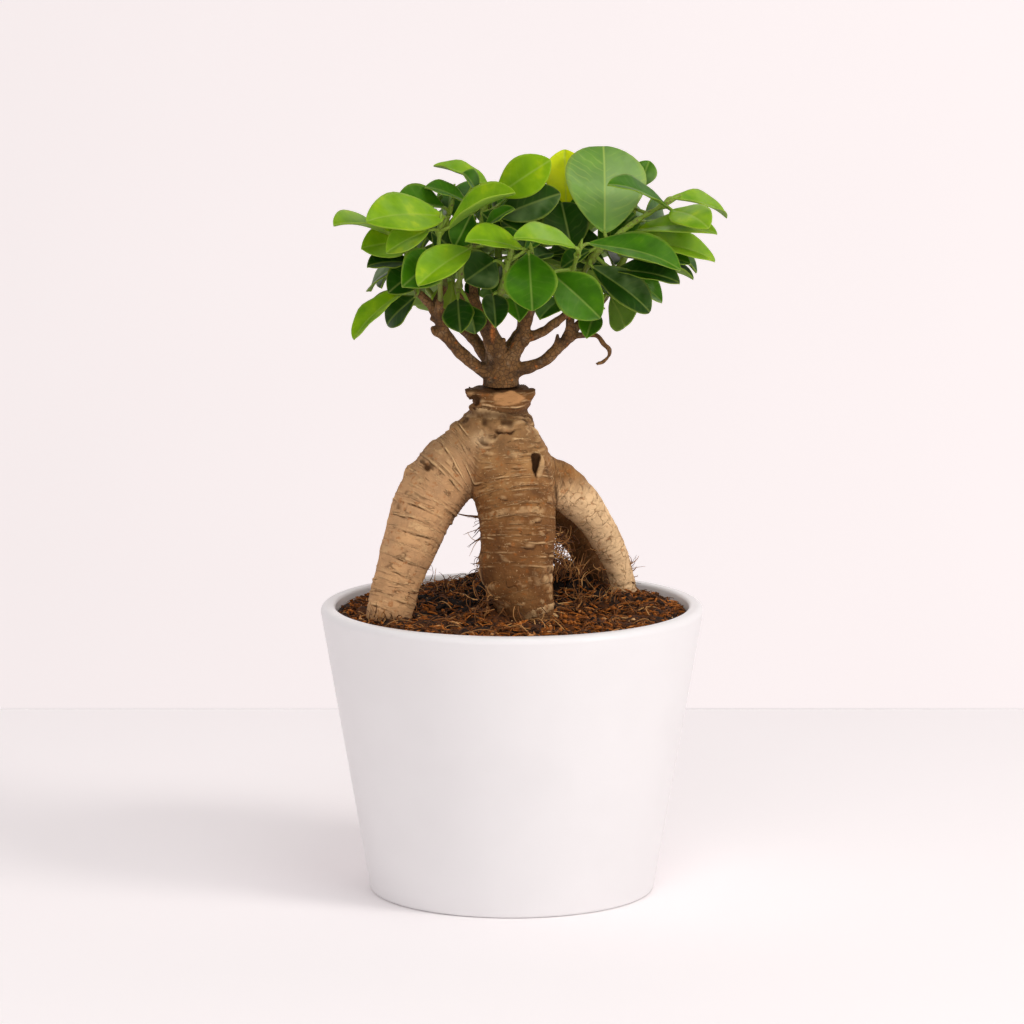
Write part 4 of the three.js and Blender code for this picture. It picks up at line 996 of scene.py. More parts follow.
@dataclass
class LeafPlan:
    """Where every leaf grows: the leaves seen from the front keep clear of each other, the rest find room."""

    rounds: int = 80
    gap: float = 2.2
    reach: float = 4.0
    twig_reach: float = 2.8
    step: float = 0.6
    roll_step: float = 0.18
    pair_margin: float = 6.0
    twig_search: float = 40.0
    leaf_search: float = 34.0
    room_search: float = 20.0
    shared_base: float = 0.15
    family_base: float = 0.1
    own_base: float = 0.2
    moves: tuple[float, float, float] = (0.25, 1, 0.25)
    drift: tuple[float, float, float] = (2.5, 12, 2.5)
    most_roll: float = 0.2
    least_room: float = 2.6
    bearings: int = 16
    rises: tuple[float, ...] = (-32, -10, 12, 34)
    sizes: tuple[float, ...] = (1, 0.76, 0.58)
    outward_lean: float = 0.9
    crowding_reach: float = 7.0
    crown_middle: tuple[float, float, float] = (8, 12, 205)
    crown_reach: tuple[float, float, float] = (66, 56, 60)
    crown_base: float = 206.0
    crown_front: float = -16.0
    petiole: float = 6.0
    shortest_stalk: float = 3.2
    first_seed: int = 1000
    seed_step: int = 77
    shade_z: float = 215.0
    sunny_height: float = 55.0
    twig_offset: float = 0.3
    twig_radii: tuple[float, float] = (1.15, 0.7)
    lengths: tuple[float, float] = (20, 7)
    widths: tuple[float, float] = (0.55, 0.13)
    spread_u: tuple[float, ...] = (0.06, 0.18, 0.3, 0.42, 0.54, 0.66, 0.78, 0.9, 1)
    spread_v: tuple[float, ...] = (-0.96, -0.64, -0.32, 0, 0.32, 0.64, 0.96)

    def __post_init__(self) -> None:
        """Lay out the sample points of a blade and the points that blades keep off."""
        self.cloud_u = np.repeat(self.spread_u, len(self.spread_v))
        self.cloud_v = np.tile(self.spread_v, len(self.spread_u))
        owners, rows = [], []
        for shoot in SHOOTS:
            path = along_chain(self.twig(shoot), 4)
            owners += [shoot] * len(path)
            rows.append(path)
        for chain in (*LIMBS.values(), *SNAGS):
            path = along_chain(chain, 4)
            owners += [""] * len(path)
            rows.append(path)
        self.twig_rows = np.concatenate(rows)
        self.twig_owners = np.array(owners)

    def twig(self, shoot: str) -> np.ndarray:
        """Give a shoot's twig as points with radii; it starts a hair off the end of its limb."""
        wood = np.asarray(LIMBS[shoot], float)[:, :3]
        along = unit(wood[-1] - wood[-2])
        start = [wood[-1] + step * along for step in (self.twig_offset, self.twig_offset + 1.5)]
        points = [*start, *np.asarray(SHOOTS[shoot][0], float)]
        return np.column_stack([points, np.linspace(*self.twig_radii, len(points))])

    def cloud(self, leaf: Leaf) -> np.ndarray:
        """Give points spread over a leaf's blade."""
        return leaf.points(self.cloud_u, self.cloud_v)

    def nearest_twig(self, place: np.ndarray) -> tuple[str, np.ndarray]:
        """Find the nearest point of any twig that leaves room for a stalk, and whose twig it is."""
        best, shoot, foot = math.inf, "", place
        for name in SHOOTS:
            rows = along_chain(self.twig(name), 5)[7:, :3]
            gaps = np.linalg.norm(rows - place, axis=1)
            gaps[gaps <= self.shortest_stalk] = math.inf
            if gaps.min() < best:
                best, shoot, foot = gaps.min(), name, rows[gaps.argmin()]
        return shoot, foot

    def seen(self) -> list[Leaf]:
        """Give the leaves the front view shows, before they are moved clear of each other."""
        leaves = []
        for first, last, width, lean, tone in SEEN_LEAVES:
            base, tip = np.array(first, float), np.array(last, float)
            face = np.array([0, -math.sin(math.radians(lean)), math.cos(math.radians(lean))])
            leaves.append(Leaf(*self.nearest_twig(base), base, tip, width, face, tone.value))
        return leaves

    def near_pairs(self, leaves: Sequence[Leaf]) -> list[tuple[int, int, np.ndarray]]:
        """Pair the leaves that are near, with the direction in which the first lies over the second."""
        pairs = []
        for i, a in enumerate(leaves):
            for j in range(i + 1, len(leaves)):
                b = leaves[j]
                apart = a.middle - b.middle
                if np.linalg.norm(apart) > (a.length + b.length) / 2 + self.pair_margin:
                    continue
                over = a.axes()[2] + b.axes()[2]
                if np.linalg.norm(over) < 0.5:
                    over = apart.copy()
                over = unit(over)
                pairs.append((i, j, -over if np.dot(apart, over) < 0 else over))
        return pairs

    def cleared(self, leaves: list[Leaf]) -> list[Leaf]:
        """Move seen leaves about their stalks, round after round, pushing each blade off the others and off
        twigs.
        """
        places = [leaf.tip.copy() for leaf in leaves]
        pairs = self.near_pairs(leaves)
        rows = self.twig_rows
        near = [np.linalg.norm(rows[:, :3] - leaf.base, axis=1) < self.twig_search for leaf in leaves]
        u = self.cloud_u
        for _ in range(self.rounds):
            clouds = [self.cloud(leaf) for leaf in leaves]
            outs = [leaf.axes()[2] for leaf in leaves]
            arms = [leaf.width / 2 * blade_share(u) * self.cloud_v for leaf in leaves]
            push = np.zeros((len(leaves), 3))
            weight, twist, lever = np.zeros(len(leaves)), np.zeros(len(leaves)), np.zeros(len(leaves))

            def press(i: int, index: np.ndarray, directions: np.ndarray, depths: np.ndarray) -> None:
                """Add the pushes on some points of one leaf."""
                push[i] += (directions * (depths * u[index])[:, None]).sum(0)
                weight[i] += (u[index] ** 2).sum()
                twist[i] += (depths * (directions @ outs[i]) * arms[i][index]).sum()
                lever[i] += (arms[i][index] ** 2).sum()

            for i, j, over in pairs:
                away = clouds[i][:, None] - clouds[j][None]
                depth = self.gap - away @ over
                hit = ((away**2).sum(2) <= self.reach**2) & (depth > 0)
                if leaves[i].shoot == leaves[j].shoot:
                    hit &= np.minimum(u[:, None], u[None]) >= self.shared_base
                first, second = np.nonzero(hit)
                if len(first):
                    depths = depth[first, second] / 2
                    press(i, first, np.tile(over, (len(first), 1)), depths)
                    press(j, second, np.tile(over, (len(first), 1)), -depths)
            for i, leaf in enumerate(leaves):
                twigs = rows[near[i]]
                own = self.twig_owners[near[i]] == leaf.shoot
                away = clouds[i][None] - twigs[:, None, :3]
                gaps = np.linalg.norm(away, axis=2)
                depth = self.twig_reach + twigs[:, None, 3] - gaps
                hit = (depth > 0) & ~(own[:, None] & (u[None] < self.own_base))
                which, index = np.nonzero(hit)
                if len(which):
                    press(i, index, away[which, index] / gaps[which, index][:, None], depth[which, index])
                if not weight[i]:
                    continue
                move = leaf.tip - places[i] + push[i] * self.moves * (self.step / weight[i])
                leaf.tip = places[i] + np.clip(move, np.negative(self.drift), self.drift)
                if lever[i] > 1:
                    leaf.roll += self.roll_step * twist[i] / lever[i]
                leaf.roll = min(max(leaf.roll, -self.most_roll), self.most_roll)
        return leaves

    def room(self, leaf: Leaf, taken: Sequence[tuple[np.ndarray, np.ndarray, str]]) -> float:
        """Measure the least distance from a leaf's blade and stalk to the blades and twigs already there."""
        reached = np.linalg.norm((leaf.tip - self.crown_middle) / self.crown_reach)
        if reached > 1 or leaf.tip[2] < self.crown_base or leaf.tip[1] < self.crown_front:
            return 0.0
        own = np.vstack([self.cloud(leaf), leaf.base])
        own_u = np.append(self.cloud_u, 0)
        middle = leaf.middle
        others, family = [], []
        for cloud, centre, shoot in taken:
            if np.linalg.norm(centre - middle) <= self.leaf_search:
                (family if shoot == leaf.shoot else others).append(cloud)
        least = math.inf
        if others:
            least = min(least, least_square(own, np.concatenate(others)))
        if family:
            grown = np.concatenate([cloud[self.cloud_u >= self.family_base] for cloud in family])
            least = min(least, least_square(own[own_u >= self.family_base], grown))
        rows = self.twig_rows
        close = np.linalg.norm(rows[:, :3] - middle, axis=1) <= self.room_search
        if close.any():
            rows, owners = rows[close], self.twig_owners[close]
            gaps = np.linalg.norm(own[:, None] - rows[None, :, :3], axis=2) - rows[None, :, 3]
            gaps[(own_u[:, None] < self.own_base) & (owners[None] == leaf.shoot)] = math.inf
            least = min(least, max(0.0, gaps.min()) ** 2)
        return math.sqrt(least)

    def others(self, seen: Sequence[Leaf]) -> list[Leaf]:
        """Give the other leaves, each turned to where the crown is least crowded."""
        taken = [(self.cloud(leaf), leaf.centre, leaf.shoot) for leaf in seen]
        leaves = []
        for number, (shoot, (_, most)) in enumerate(SHOOTS.items()):
            path = along_chain(self.twig(shoot), 3)[:, :3]
            draw = Draw(self.first_seed + self.seed_step * number)
            for k in range(most):
                share = 0.3 + 0.7 * (k + 0.5) / most
                foot = point_along(path, share)
                length = self.lengths[0] + self.lengths[1] * draw.next()
                width = length * (self.widths[0] + self.widths[1] * draw.next())
                first = 360 * draw.next()
                for size in self.sizes:
                    best, found = math.inf, None
                    centres = np.array([centre for _, centre, _ in taken])
                    for turn in range(self.bearings):
                        for rise in self.rises:
                            leaf = self.toward(
                                shoot, foot, math.radians(first + 360 * turn / self.bearings),
                                math.radians(rise), size * length, size * width)
                            apart = (centres - leaf.middle)[:, [0, 2]]
                            crowd = np.exp(-(apart**2).sum(1) / self.crowding_reach**2).sum()
                            if crowd < best and self.room(leaf, taken) > self.least_room:
                                best, found = crowd, leaf
                    if found is None:
                        continue
                    leaves.append(found)
                    taken.append((self.cloud(found), found.centre, shoot))
                    break
        return leaves

    def toward(
        self, shoot: str, foot: np.ndarray, bearing: float, rise: float, length: float, width: float
    ) -> Leaf:
        """Give a leaf that grows from a twig at a bearing and a rise."""
        out = np.array([math.cos(bearing), math.sin(bearing), 0])
        up = np.array([0, 0, math.sin(rise)])
        base = foot + out * self.petiole + up * self.petiole
        tip = base + out * (length * math.cos(rise)) + up * length
        away = unit((foot - self.crown_middle) * np.array([1, 1, 0]))
        return Leaf(shoot, foot, base, tip, width, np.array([0, 0, 1]) + self.outward_lean * away)

    def leaves(self) -> list[Leaf]:
        """Give every leaf, with a tone for each of those that the front view doesn't show."""
        seen = self.cleared(self.seen())
        others = self.others(seen)
        for leaf in others:
            draw = Draw.at(leaf.tip, 977, 31, 5)
            # Higher leaves get a lighter tone: painted light in the top of the crown, painted shade low in it.
            sun = (leaf.tip[2] - self.shade_z) / self.sunny_height
            leaf.tone = 0.06 + 0.36 * max(0.0, min(1.0, sun)) + 0.2 * draw.next()
        for leaf in seen + others:
            self.shape(leaf)
        LOG.info("%d leaves seen from the front, %d others", len(seen), len(others))
        return seen + others

    def shape(self, leaf: Leaf) -> None:
        """Give a leaf its own bow, fold and cupping, once every leaf has its place."""
        draw = Draw.at(leaf.tip, 613, 101, 29)
        for name, (low, high) in LEAF_SHAPES.items():
            setattr(leaf, name, draw.between(low, high))
        if leaf.width > LARGE_LEAF:
            for name, value in LARGE_LEAF_SHAPE.items():
                setattr(leaf, name, value)


def least_square(first: np.ndarray, second: np.ndarray) -> float:
    """Give the least squared distance between two sets of points."""
    squares = (first**2).sum(1)[:, None] + (second**2).sum(1)[None] - 2 * first @ second.T
    return max(float(squares.min()), 0.0)


def point_along(path: np.ndarray, share: float) -> np.ndarray:
    """Give the point at a share of a path's length."""
    lengths = np.linalg.norm(np.diff(path, axis=0), axis=1)
    reached = np.concatenate([[0], np.cumsum(lengths)])
    return np.array([np.interp(share * reached[-1], reached, path[:, axis]) for axis in range(3)])


@dataclass
class Draw:
    """A repeatable draw between 0 and 1."""

    state: int

    @classmethod
    def at(cls, place: np.ndarray, by_x: int, by_z: int, seed: int) -> Draw:
        """Start from a place, so that each leaf keeps its own draws whatever the others do."""
        return cls(int(abs(place[0]) * by_x + abs(place[2]) * by_z) + seed)

    def next(self) -> float:
        """Give the next draw."""
        self.state = self.state * 16807 % 2147483647
        return self.state / 2147483647

    def between(self, low: float, high: float) -> float:
        """Give the next draw, stretched between two values."""
        return low + (high - low) * self.next()

    def vector(self) -> np.ndarray:
        """Give three draws between -1 and 1."""
        return np.array([self.between(-1, 1) for _ in range(3)])


@dataclass
class LeafyShoot:
    """A young twig with its leaves, grown together, and a spear bud on its tip."""

    name: str
    twig: np.ndarray
    leaves: list[Leaf]
    twig_sides: int = 9
    stalk_sides: int = 8
    swelling: float = 0.4
    swelling_reach: float = 1.3
    stations: int = 18
    columns: tuple[float, ...] = (-1, -0.86, -0.64, -0.4, -0.2, -0.07, 0, 0.07, 0.2, 0.4, 0.64, 0.86, 1)
    blade_half: float = 0.3
    rim_half: float = 0.16
    rib_half: float = 0.55
    channel: float = 0.28
    keel: float = 0.42
    stalk: float = 0.72
    bud: float = 7.5

    def build(self) -> bpy.types.Object:
        """Draw the twig, bud and leaves as one piece.

        Returns:
            The piece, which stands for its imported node.
        """
        draft = Draft("leafy_shoot_" + self.name + "_fine")
        self.add_twig(draft)
        for number, leaf in enumerate(self.leaves):
            self.add_blade(draft, leaf, number)
            self.add_petiole(draft, leaf)
        return draft.made([LeatheryLeaf(), GreenTwigBark()], "leafy_shoot_" + self.name)

    def add_twig(self, draft: Draft) -> None:
        """Draw the twig with a swelling where each stalk leaves it, and the pointed bud on its end."""
        path = along_chain(self.twig, 8)
        centre, radii = path[:, :3], path[:, 3].copy()
        for leaf in self.leaves:
            gap = np.linalg.norm(centre - leaf.foot, axis=1)
            radii += self.swelling * bell(gap, self.swelling_reach)
        woody = np.repeat(held(1 - np.arange(len(path)) / len(path) * 1.6), self.twig_sides)
        draft.add(*tube(centre, radii, self.twig_sides), 1, woody=woody)
        share = np.linspace(0, 1, 9)
        spear = centre[-1] + np.outer(share * self.bud, unit(centre[-1] - centre[-4]))
        girth = np.sin(math.pi * held(0.35 + 0.65 * share)) ** 0.8 + 0.05
        draft.add(*tube(spear, girth, self.stalk_sides), 1, woody=0.0)

    def add_petiole(self, draft: Draft, leaf: Leaf) -> None:
        """Draw the stalk, bent smoothly from the twig into the blade's midrib."""
        along = leaf.axes()[0]
        reach = np.linalg.norm(leaf.base - leaf.foot)
        end = leaf.points(np.array([1.2 / leaf.length]), np.array([0.0]), -0.1)[0]
        bend = leaf.base - along * min(0.35 * reach, 2.5)
        t = np.linspace(0, 1, 9)[:, None]
        path = (1 - t) ** 2 * leaf.foot + 2 * t * (1 - t) * bend + t**2 * end
        radii = self.stalk * np.interp(t[:, 0], [0, 0.15, 0.85, 1], [1.25, 1, 0.85, 0.55])
        draft.add(*tube(path, radii, self.stalk_sides), 1, woody=0.0)

    def add_blade(self, draft: Draft, leaf: Leaf, number: int) -> None:
        """Draw the blade as a thin closed shell with a channel over the midrib and a keel under it."""
        draw = Draw.at(leaf.tip, 131, 17, 11 + number)
        phase, waves, swing = 6.3 * draw.next(), draw.between(1.2, 2.6), draw.between(0.15, 0.4)
        u = 0.5 - 0.5 * np.cos(math.pi * np.linspace(0.035, 1, self.stations))
        u = 0.004 + 0.992 * u
        v = np.array(self.columns)
        top_v, under_v = np.tile(v, len(u)), np.tile(v[::-1], len(u))
        long = np.repeat(u, len(v))
        rows = []
        for across, sign in ((top_v, 1.0), (under_v, -1.0)):
            half = leaf.half(long)
            inward = np.minimum(1, (1 - np.abs(across)) * 4)
            thick = (self.rim_half + (self.blade_half - self.rim_half) * inward) * np.clip(half / 2, 0.5, 1)
            offset = half * across
            mid = bell(offset, self.rib_half)
            wave = swing * across**2 * np.sin(6.3 * long * waves + phase + 2.2 * np.sign(across))
            soften = -leaf.fold * half * (np.abs(across) - np.sqrt(across**2 + 0.004))
            lift = sign * thick + wave * rising(half, 4) + soften
            lift -= self.channel * mid * rising(half, 2.5) if sign > 0 else self.keel * mid
            rows.append(leaf.points(long, across, lift).reshape(len(u), len(v), 3))
        top, under = rows
        points = np.concatenate([top, under], axis=1).reshape(-1, 3)
        sides = 2 * len(v)
        long = np.repeat(u, sides)
        half = leaf.half(long)
        across = np.tile(np.concatenate([v, v[::-1]]), len(u))
        below = np.tile(np.concatenate([np.zeros(len(v)), np.ones(len(v))]), len(u))
        # Painted pale rim: light shining through the blade's thin edge.
        rim = rising(np.abs(across) * half - (half - 0.5), 0.4) * (np.abs(across) > 0.8)
        faces = [face[::-1] for face in ring_faces(len(u), sides)]
        # Painted sheen: a band across the blade, lighter on one half, and full on the sheen leaf.
        large = float(leaf.width > LARGE_LEAF)
        sheen_leaf = leaf.tone == Tone.SHEEN.value
        sheen_share = 1.0 if sheen_leaf else draw.between(0.1, 0.75) * draw.next()
        lit_half = 0.55 + 0.45 * np.sign(draw.next() - 0.5) * np.sign(across)
        bloom = held(0.8 - np.abs(long - draw.between(0.35, 0.6))) * sheen_share
        bloom = bloom * (0.8 - 0.2 * np.sign(across) if sheen_leaf else lit_half)
        draft.add(
            points, faces, 0, age=leaf.tone, across=np.abs(across) * half, along=long * leaf.length,
            under=below, rim=rim, veined=large, bloom=bloom)


EVERYWHERE = (slice(None),) * 3


@dataclass
class Grid:
    """A block of space cut into cells, with the distance to a skin at each corner."""

    low: np.ndarray
    high: np.ndarray
    cell: float
    far: float = 12.0

    def __post_init__(self) -> None:
        """Lay out the corners."""
        self.count = np.ceil((self.high - self.low) / self.cell).astype(int) + 1
        self.axes = [self.low[axis] + self.cell * np.arange(self.count[axis]) for axis in range(3)]
        self.values = np.full(self.count, self.far)

    @classmethod
    def round(cls, paths: Sequence[np.ndarray], margin: float, cell: float, far: float = 12.0) -> Grid:
        """Give a grid that holds every chain, with a margin round them."""
        rows = np.concatenate(paths)
        low, high = (rows[:, :3] - rows[:, 3:]).min(0) - margin, (rows[:, :3] + rows[:, 3:]).max(0) + margin
        return cls(low, high, cell, far)

    def within(self, low: np.ndarray, high: np.ndarray) -> tuple[slice, ...]:
        """Give the part of the block between two corners."""
        first = np.clip(((low - self.low) / self.cell).astype(int), 0, self.count)
        last = np.clip(((high - self.low) / self.cell).astype(int) + 2, 0, self.count)
        return tuple(slice(a, b) for a, b in zip(first, last))

    def offsets(self, part: tuple[slice, ...], point: np.ndarray) -> list[np.ndarray]:
        """Give the steps from a point to every corner in a part of the block, axis by axis."""
        shapes = [(-1, 1, 1), (1, -1, 1), (1, 1, -1)]
        return [(self.axes[axis][part[axis]] - point[axis]).reshape(shapes[axis]) for axis in range(3)]

    def chain(self, path: np.ndarray, margin: float = 7.0) -> np.ndarray:
        """Measure the distance from every corner to a tapering chain's skin, as far as a margin."""
        found = np.full(self.count, self.far)
        for a, b in zip(path[:-1], path[1:]):
            reach = max(a[3], b[3]) + margin
            part = self.within(np.minimum(a[:3], b[:3]) - reach, np.maximum(a[:3], b[:3]) + reach)
            px, py, pz = self.offsets(part, a)
            d = b[:3] - a[:3]
            t = held((px * d[0] + py * d[1] + pz * d[2]) / (d @ d))
            gap = np.sqrt((px - t * d[0]) ** 2 + (py - t * d[1]) ** 2 + (pz - t * d[2]) ** 2)
            gap -= a[3] + (b[3] - a[3]) * t
            np.minimum(found[part], gap, out=found[part])
        return found

    def ball(self, centre: np.ndarray, radius: float) -> np.ndarray:
        """Measure the distance from every corner to a ball's skin."""
        px, py, pz = self.offsets(EVERYWHERE, centre)
        return np.sqrt(px**2 + py**2 + pz**2) - radius

    def skin(self) -> tuple[np.ndarray, np.ndarray]:
        """Draw the closed skin where the distance crosses zero.

        Returns:
            One point for each cell that the skin passes, and one four-cornered face round each crossed edge.
        """
        values = self.values
        inside = values < 0
        corners = [(c & 1, c >> 1 & 1, c >> 2 & 1) for c in range(8)]
        shape = np.array(values.shape) - 1

        def shifted(array: np.ndarray, corner: tuple[int, int, int]) -> np.ndarray:
            """Give the array's values at one corner of every cell."""
            return array[tuple(slice(corner[a], corner[a] + shape[a]) for a in range(3))]

        held = sum(shifted(inside, corner).astype(np.int8) for corner in corners)
        active = (held > 0) & (held < 8)
        cells = np.argwhere(active)
        number = np.full(tuple(shape), -1)
        number[active] = np.arange(len(cells))
        at = np.stack([shifted(values, corner)[active] for corner in corners], axis=1)
        total, crossed = np.zeros((len(cells), 3)), np.zeros(len(cells))
        for p in range(8):
            for q in range(p + 1, 8):
                if sum(abs(a - b) for a, b in zip(corners[p], corners[q])) != 1:
                    continue
                cut = (at[:, p] < 0) != (at[:, q] < 0)
                t = at[cut, p] / (at[cut, p] - at[cut, q])
                start, stop = np.array(corners[p], float), np.array(corners[q], float)
                total[cut] += start + t[:, None] * (stop - start)
                crossed[cut] += 1
        points = self.low + (cells + total / crossed[:, None]) * self.cell
        faces = []
        inner = tuple(slice(1, n) for n in shape)
        ways = np.eye(3, dtype=int)
        for way in range(3):
            edge, a, b = ways[way], ways[(way + 1) % 3], ways[(way + 2) % 3]
            there = inside[tuple(slice(1 + edge[axis], shape[axis] + edge[axis]) for axis in range(3))]
            where = np.argwhere(inside[inner] != there) + 1
            ring = np.stack([number[tuple((where - step).T)] for step in (0 * a, a, a + b, b)], axis=1)
            outward = inside[tuple(where.T)]
            ring[~outward] = ring[~outward][:, ::-1]
            faces.append(ring)
        return points, np.concatenate(faces)


def melted(first: np.ndarray, second: np.ndarray, width: float) -> np.ndarray:
    """Give the smaller of two distances, rounded over where they meet."""
    overlap = np.maximum(width - np.abs(first - second), 0) / width
    return np.minimum(first, second) - overlap * overlap * width / 4


def chain_reading(points: np.ndarray, path: np.ndarray) -> tuple[np.ndarray, np.ndarray]:
    """Measure points against a tapering chain.

    Args:
        points: Rows of x, y, z.
        path: Rows of x, y, z and radius.

    Returns:
        The distance to the chain's skin, and the length along the chain of the nearest place.
    """
    nearest, along, travelled = np.full(len(points), np.inf), np.zeros(len(points)), 0.0
    for a, b in zip(path[:-1], path[1:]):
        step = b[:3] - a[:3]
        offset = points - a[:3]
        t = held(offset @ step / (step @ step))
        gap = np.linalg.norm(offset - t[:, None] * step, axis=1) - (a[3] + (b[3] - a[3]) * t)
        length = float(np.linalg.norm(step))
        closer = gap < nearest
        nearest[closer] = gap[closer]
        along[closer] = travelled + t[closer] * length
        travelled += length
    return nearest, along


def face_normals(points: np.ndarray, faces: np.ndarray) -> np.ndarray:
    """Give the outward direction at each point, from the four-cornered faces round it."""
    a, b, c, d = [points[faces[:, i]] for i in range(4)]
    flat = np.cross(c - a, d - b)
    normals = np.zeros_like(points)
    for i in range(4):
        np.add.at(normals, faces[:, i], flat)
    return unit(normals)


@dataclass(frozen=True)
class Scar:
    """A mark on the front of the stock, where a bud, twig or root once was.

    It is a rounded rise or dip about a point of the front view, given as x and height.
    """

    x: float
    z: float
    radius: float
    rise: float
    groove: float = 0.0
    wide: float = 1.0
    front_only: bool = True

    def reach(self, points: np.ndarray) -> np.ndarray:
        """Give each point's distance from the scar's middle in the front view, as a share of its radius."""
        far = np.hypot((points[:, 0] - self.x) / self.wide, points[:, 2] - self.z) / self.radius
        far = far * (1 + 0.3 * soft_noise(points, 1.7, 15.0 + self.x))
        return np.where(points[:, 1] < 0, far, 9.0) if self.front_only else far

    def lift(self, points: np.ndarray) -> np.ndarray:
        """Give how far the scar moves each point out of the skin."""
        far = self.reach(points)
        dome = self.rise * held(1 - far**2) ** 0.7
        return dome - self.groove * self.shade(points)

    def shade(self, points: np.ndarray) -> np.ndarray:
        """Give how far each point lies in the crescent under the scar."""
        lower = rising(self.z - points[:, 2], self.radius)
        return bell(self.reach(points) - 1.2, 0.24) * lower


@dataclass
class RootStock:
    """The swollen aerial roots, run together under a pruned top, with ringed bark over all of it."""

    cell: float = 0.54
    blend: float = 3.4
    knot_blend: float = 3.4
    top: float = 186.0
    ring_height: float = 0.42
    lump_height: float = 0.4
    waist_z: float = 177.2
    waist_depth: float = 0.8
    collar_z: float = 174.8
    collar_height: float = 0.75
    ridge_spacing: float = 4.7
    ridge_height: float = 0.4
    fine_spacing: float = 2.1
    fine_height: float = 0.16
    slot: Chain = (
        (8.8, -16.4, 162.8, 1.4), (8.3, -16.5, 160.2, 1.3), (7.8, -17.2, 157.8, 1), (8.1, -17.9, 155.4, 0.6),
    )
    slot_lip: Chain = (
        (8.4, -17, 164.6, 0.6), (9.8, -16.6, 163.5, 0.9), (10.5, -16.5, 161.2, 1.15), (10.3, -17, 158.6, 1),
        (9.4, -17.9, 156.4, 0.6),
    )
    spurs: Chain = (
        (6.3, -2.5, 173.4, 0.9), (-37, -6, 156, 2.2), (-14.9, -4, 185.2, 1.7), (6.4, -5, 185.2, 1.5),
        (-14, -8, 179.5, 1.4),
    )
    patch: tuple[float, ...] = (-11.6, 168.6, 3.0, 2.6)
    edge_z: float = 184.6
    stub_z: float = 176.5
    buried_z: float = 97.0
    face_at: tuple[float, ...] = (-2, -8.6, 182.5)
    face_looks: tuple[float, ...] = (0.05, -0.86, 0.5)
    cut_at: tuple[float, ...] = (-1.8, 183.0)
    cut_size: tuple[float, ...] = (6.4, 2.7)
    scars: tuple[Scar, ...] = (
        Scar(-1.9, 173.2, 1.7, 0.45, 1.2, 1.9),
        Scar(-19.9, 171.2, 2.6, 1.1, 0.0, 1.0, False),
        Scar(-14.9, 185.3, 1.8, 0.7, 0.5),
        Scar(-13.2, 182.3, 1.7, -1.5),
        Scar(-13.5, 179.4, 1.6, -1.2),
        Scar(-11.0, 181.9, 1.3, 0.9),
        Scar(1.1, 164.1, 1.7, 0.35, 0.0, 1.6),
        Scar(6.2, 132.0, 1.1, 0.6, 0.4, 1.9),
        Scar(-31.0, 158.5, 1.4, -0.6),
        Scar(9.0, 141.0, 0.8, 0.4, 0.2, 2.0),
        Scar(-3.0, 149.0, 0.8, 0.3, 0.2, 1.8),
    )

    def build(self) -> bpy.types.Object:
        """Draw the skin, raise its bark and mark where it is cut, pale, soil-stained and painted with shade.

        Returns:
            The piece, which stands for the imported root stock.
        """
        paths = [along_chain(chain, 3) for chain in (BODY, LEFT_ROOT, CENTRE_ROOT, RIGHT_ROOT, BACK_ROOT)]
        grid = Grid.round(paths, 2, self.cell)
        grid.values = self.distances(grid, paths)
        points, faces = grid.skin()
        marks = self.marks(points, paths)
        points = self.barked(points, faces, marks)
        draft = Draft("root_stock_fine")
        draft.add(points, faces.tolist(), 0, **marks)
        return draft.made([BeigeRootBark()], "root_stock")

    def distances(self, grid: Grid, paths: Sequence[np.ndarray]) -> np.ndarray:
        """Measure the distance to the stock's skin at every corner of the grid.

        Args:
            grid: The block of space round the stock.
            paths: The body's and roots' chains.

        Returns:
            The distances, negative inside.
        """
        values = grid.chain(paths[0])
        for path in paths[1:]:
            values = melted(values, grid.chain(path), self.blend)
        for x, y, z, radius in (*KNOTS, *self.spurs):
            values = melted(values, grid.ball(np.array([x, y, z]), radius), self.knot_blend)
        values = melted(values, grid.chain(along_chain(self.slot_lip, 3)), 0.8)
        values = -melted(-values, grid.chain(along_chain(self.slot, 3)), 0.5)
        px, py, pz = grid.offsets(EVERYWHERE, np.array(self.face_at))
        pruned = px * self.face_looks[0] + py * self.face_looks[1] + pz * self.face_looks[2]
        values = -melted(-values, -pruned, 1.0)
        return np.maximum(values, grid.offsets(EVERYWHERE, np.array([0, 0, self.top]))[2])

    def marks(self, points: np.ndarray, paths: Sequence[np.ndarray]) -> dict[str, np.ndarray]:
        """Measure what the bark's finish and relief need at each point.

        Args:
            points: The skin's points.
            paths: The body's and roots' chains.

        Returns:
            The marks by name.
        """
        gaps, rings = self.readings(points, paths)
        weights = np.exp(-(gaps - gaps.min(0)) / 1.2)
        _, left, centre, right, back = share = weights / weights.sum(0)
        ring = (share * rings).sum(0)
        x, height = points[:, 0], points[:, 2]
        slot = chain_reading(points, along_chain(self.slot, 3))[0]
        cut = self.cut(points)
        show = (1 - right * 0.75 - back) * (1 - cut)
        at_x, at_z, wide, tall = self.patch
        patch = bell(x - at_x, wide) * bell(height - at_z, tall) * (points[:, 1] < 0)
        # A darker band along the top edge outside the cut, laid in with the painted shade.
        edge = 0.8 * rising(height - self.edge_z, 0.8) * (1 - cut)
        return {
            "ring": ring,
            **self.courses(points, ring, show, "ridge", self.ridge_spacing, 21.0),
            **self.courses(points, ring, show, "fine", self.fine_spacing, 31.0),
            "raised": self.raised(points, slot),
            "fair": left * rising(182 - height, 16),
            "crease": np.maximum(self.crease(points, gaps, slot), edge),
            "pale": np.maximum(right * rising(154 - height, 8), 0.8 * patch),
            "upper": rising(height - 146, 26) * 0.85,
            "brown": centre * rising(160 - height, 20),
            "stub": rising(height - self.stub_z, 2.5),
            "cut": cut,
            # Soil stains low down, and painted shade darkening the back root.
            "stain": rising(118 - height, 14) * 0.45 + back * rising(150 - height, 16) * 0.62,
        }

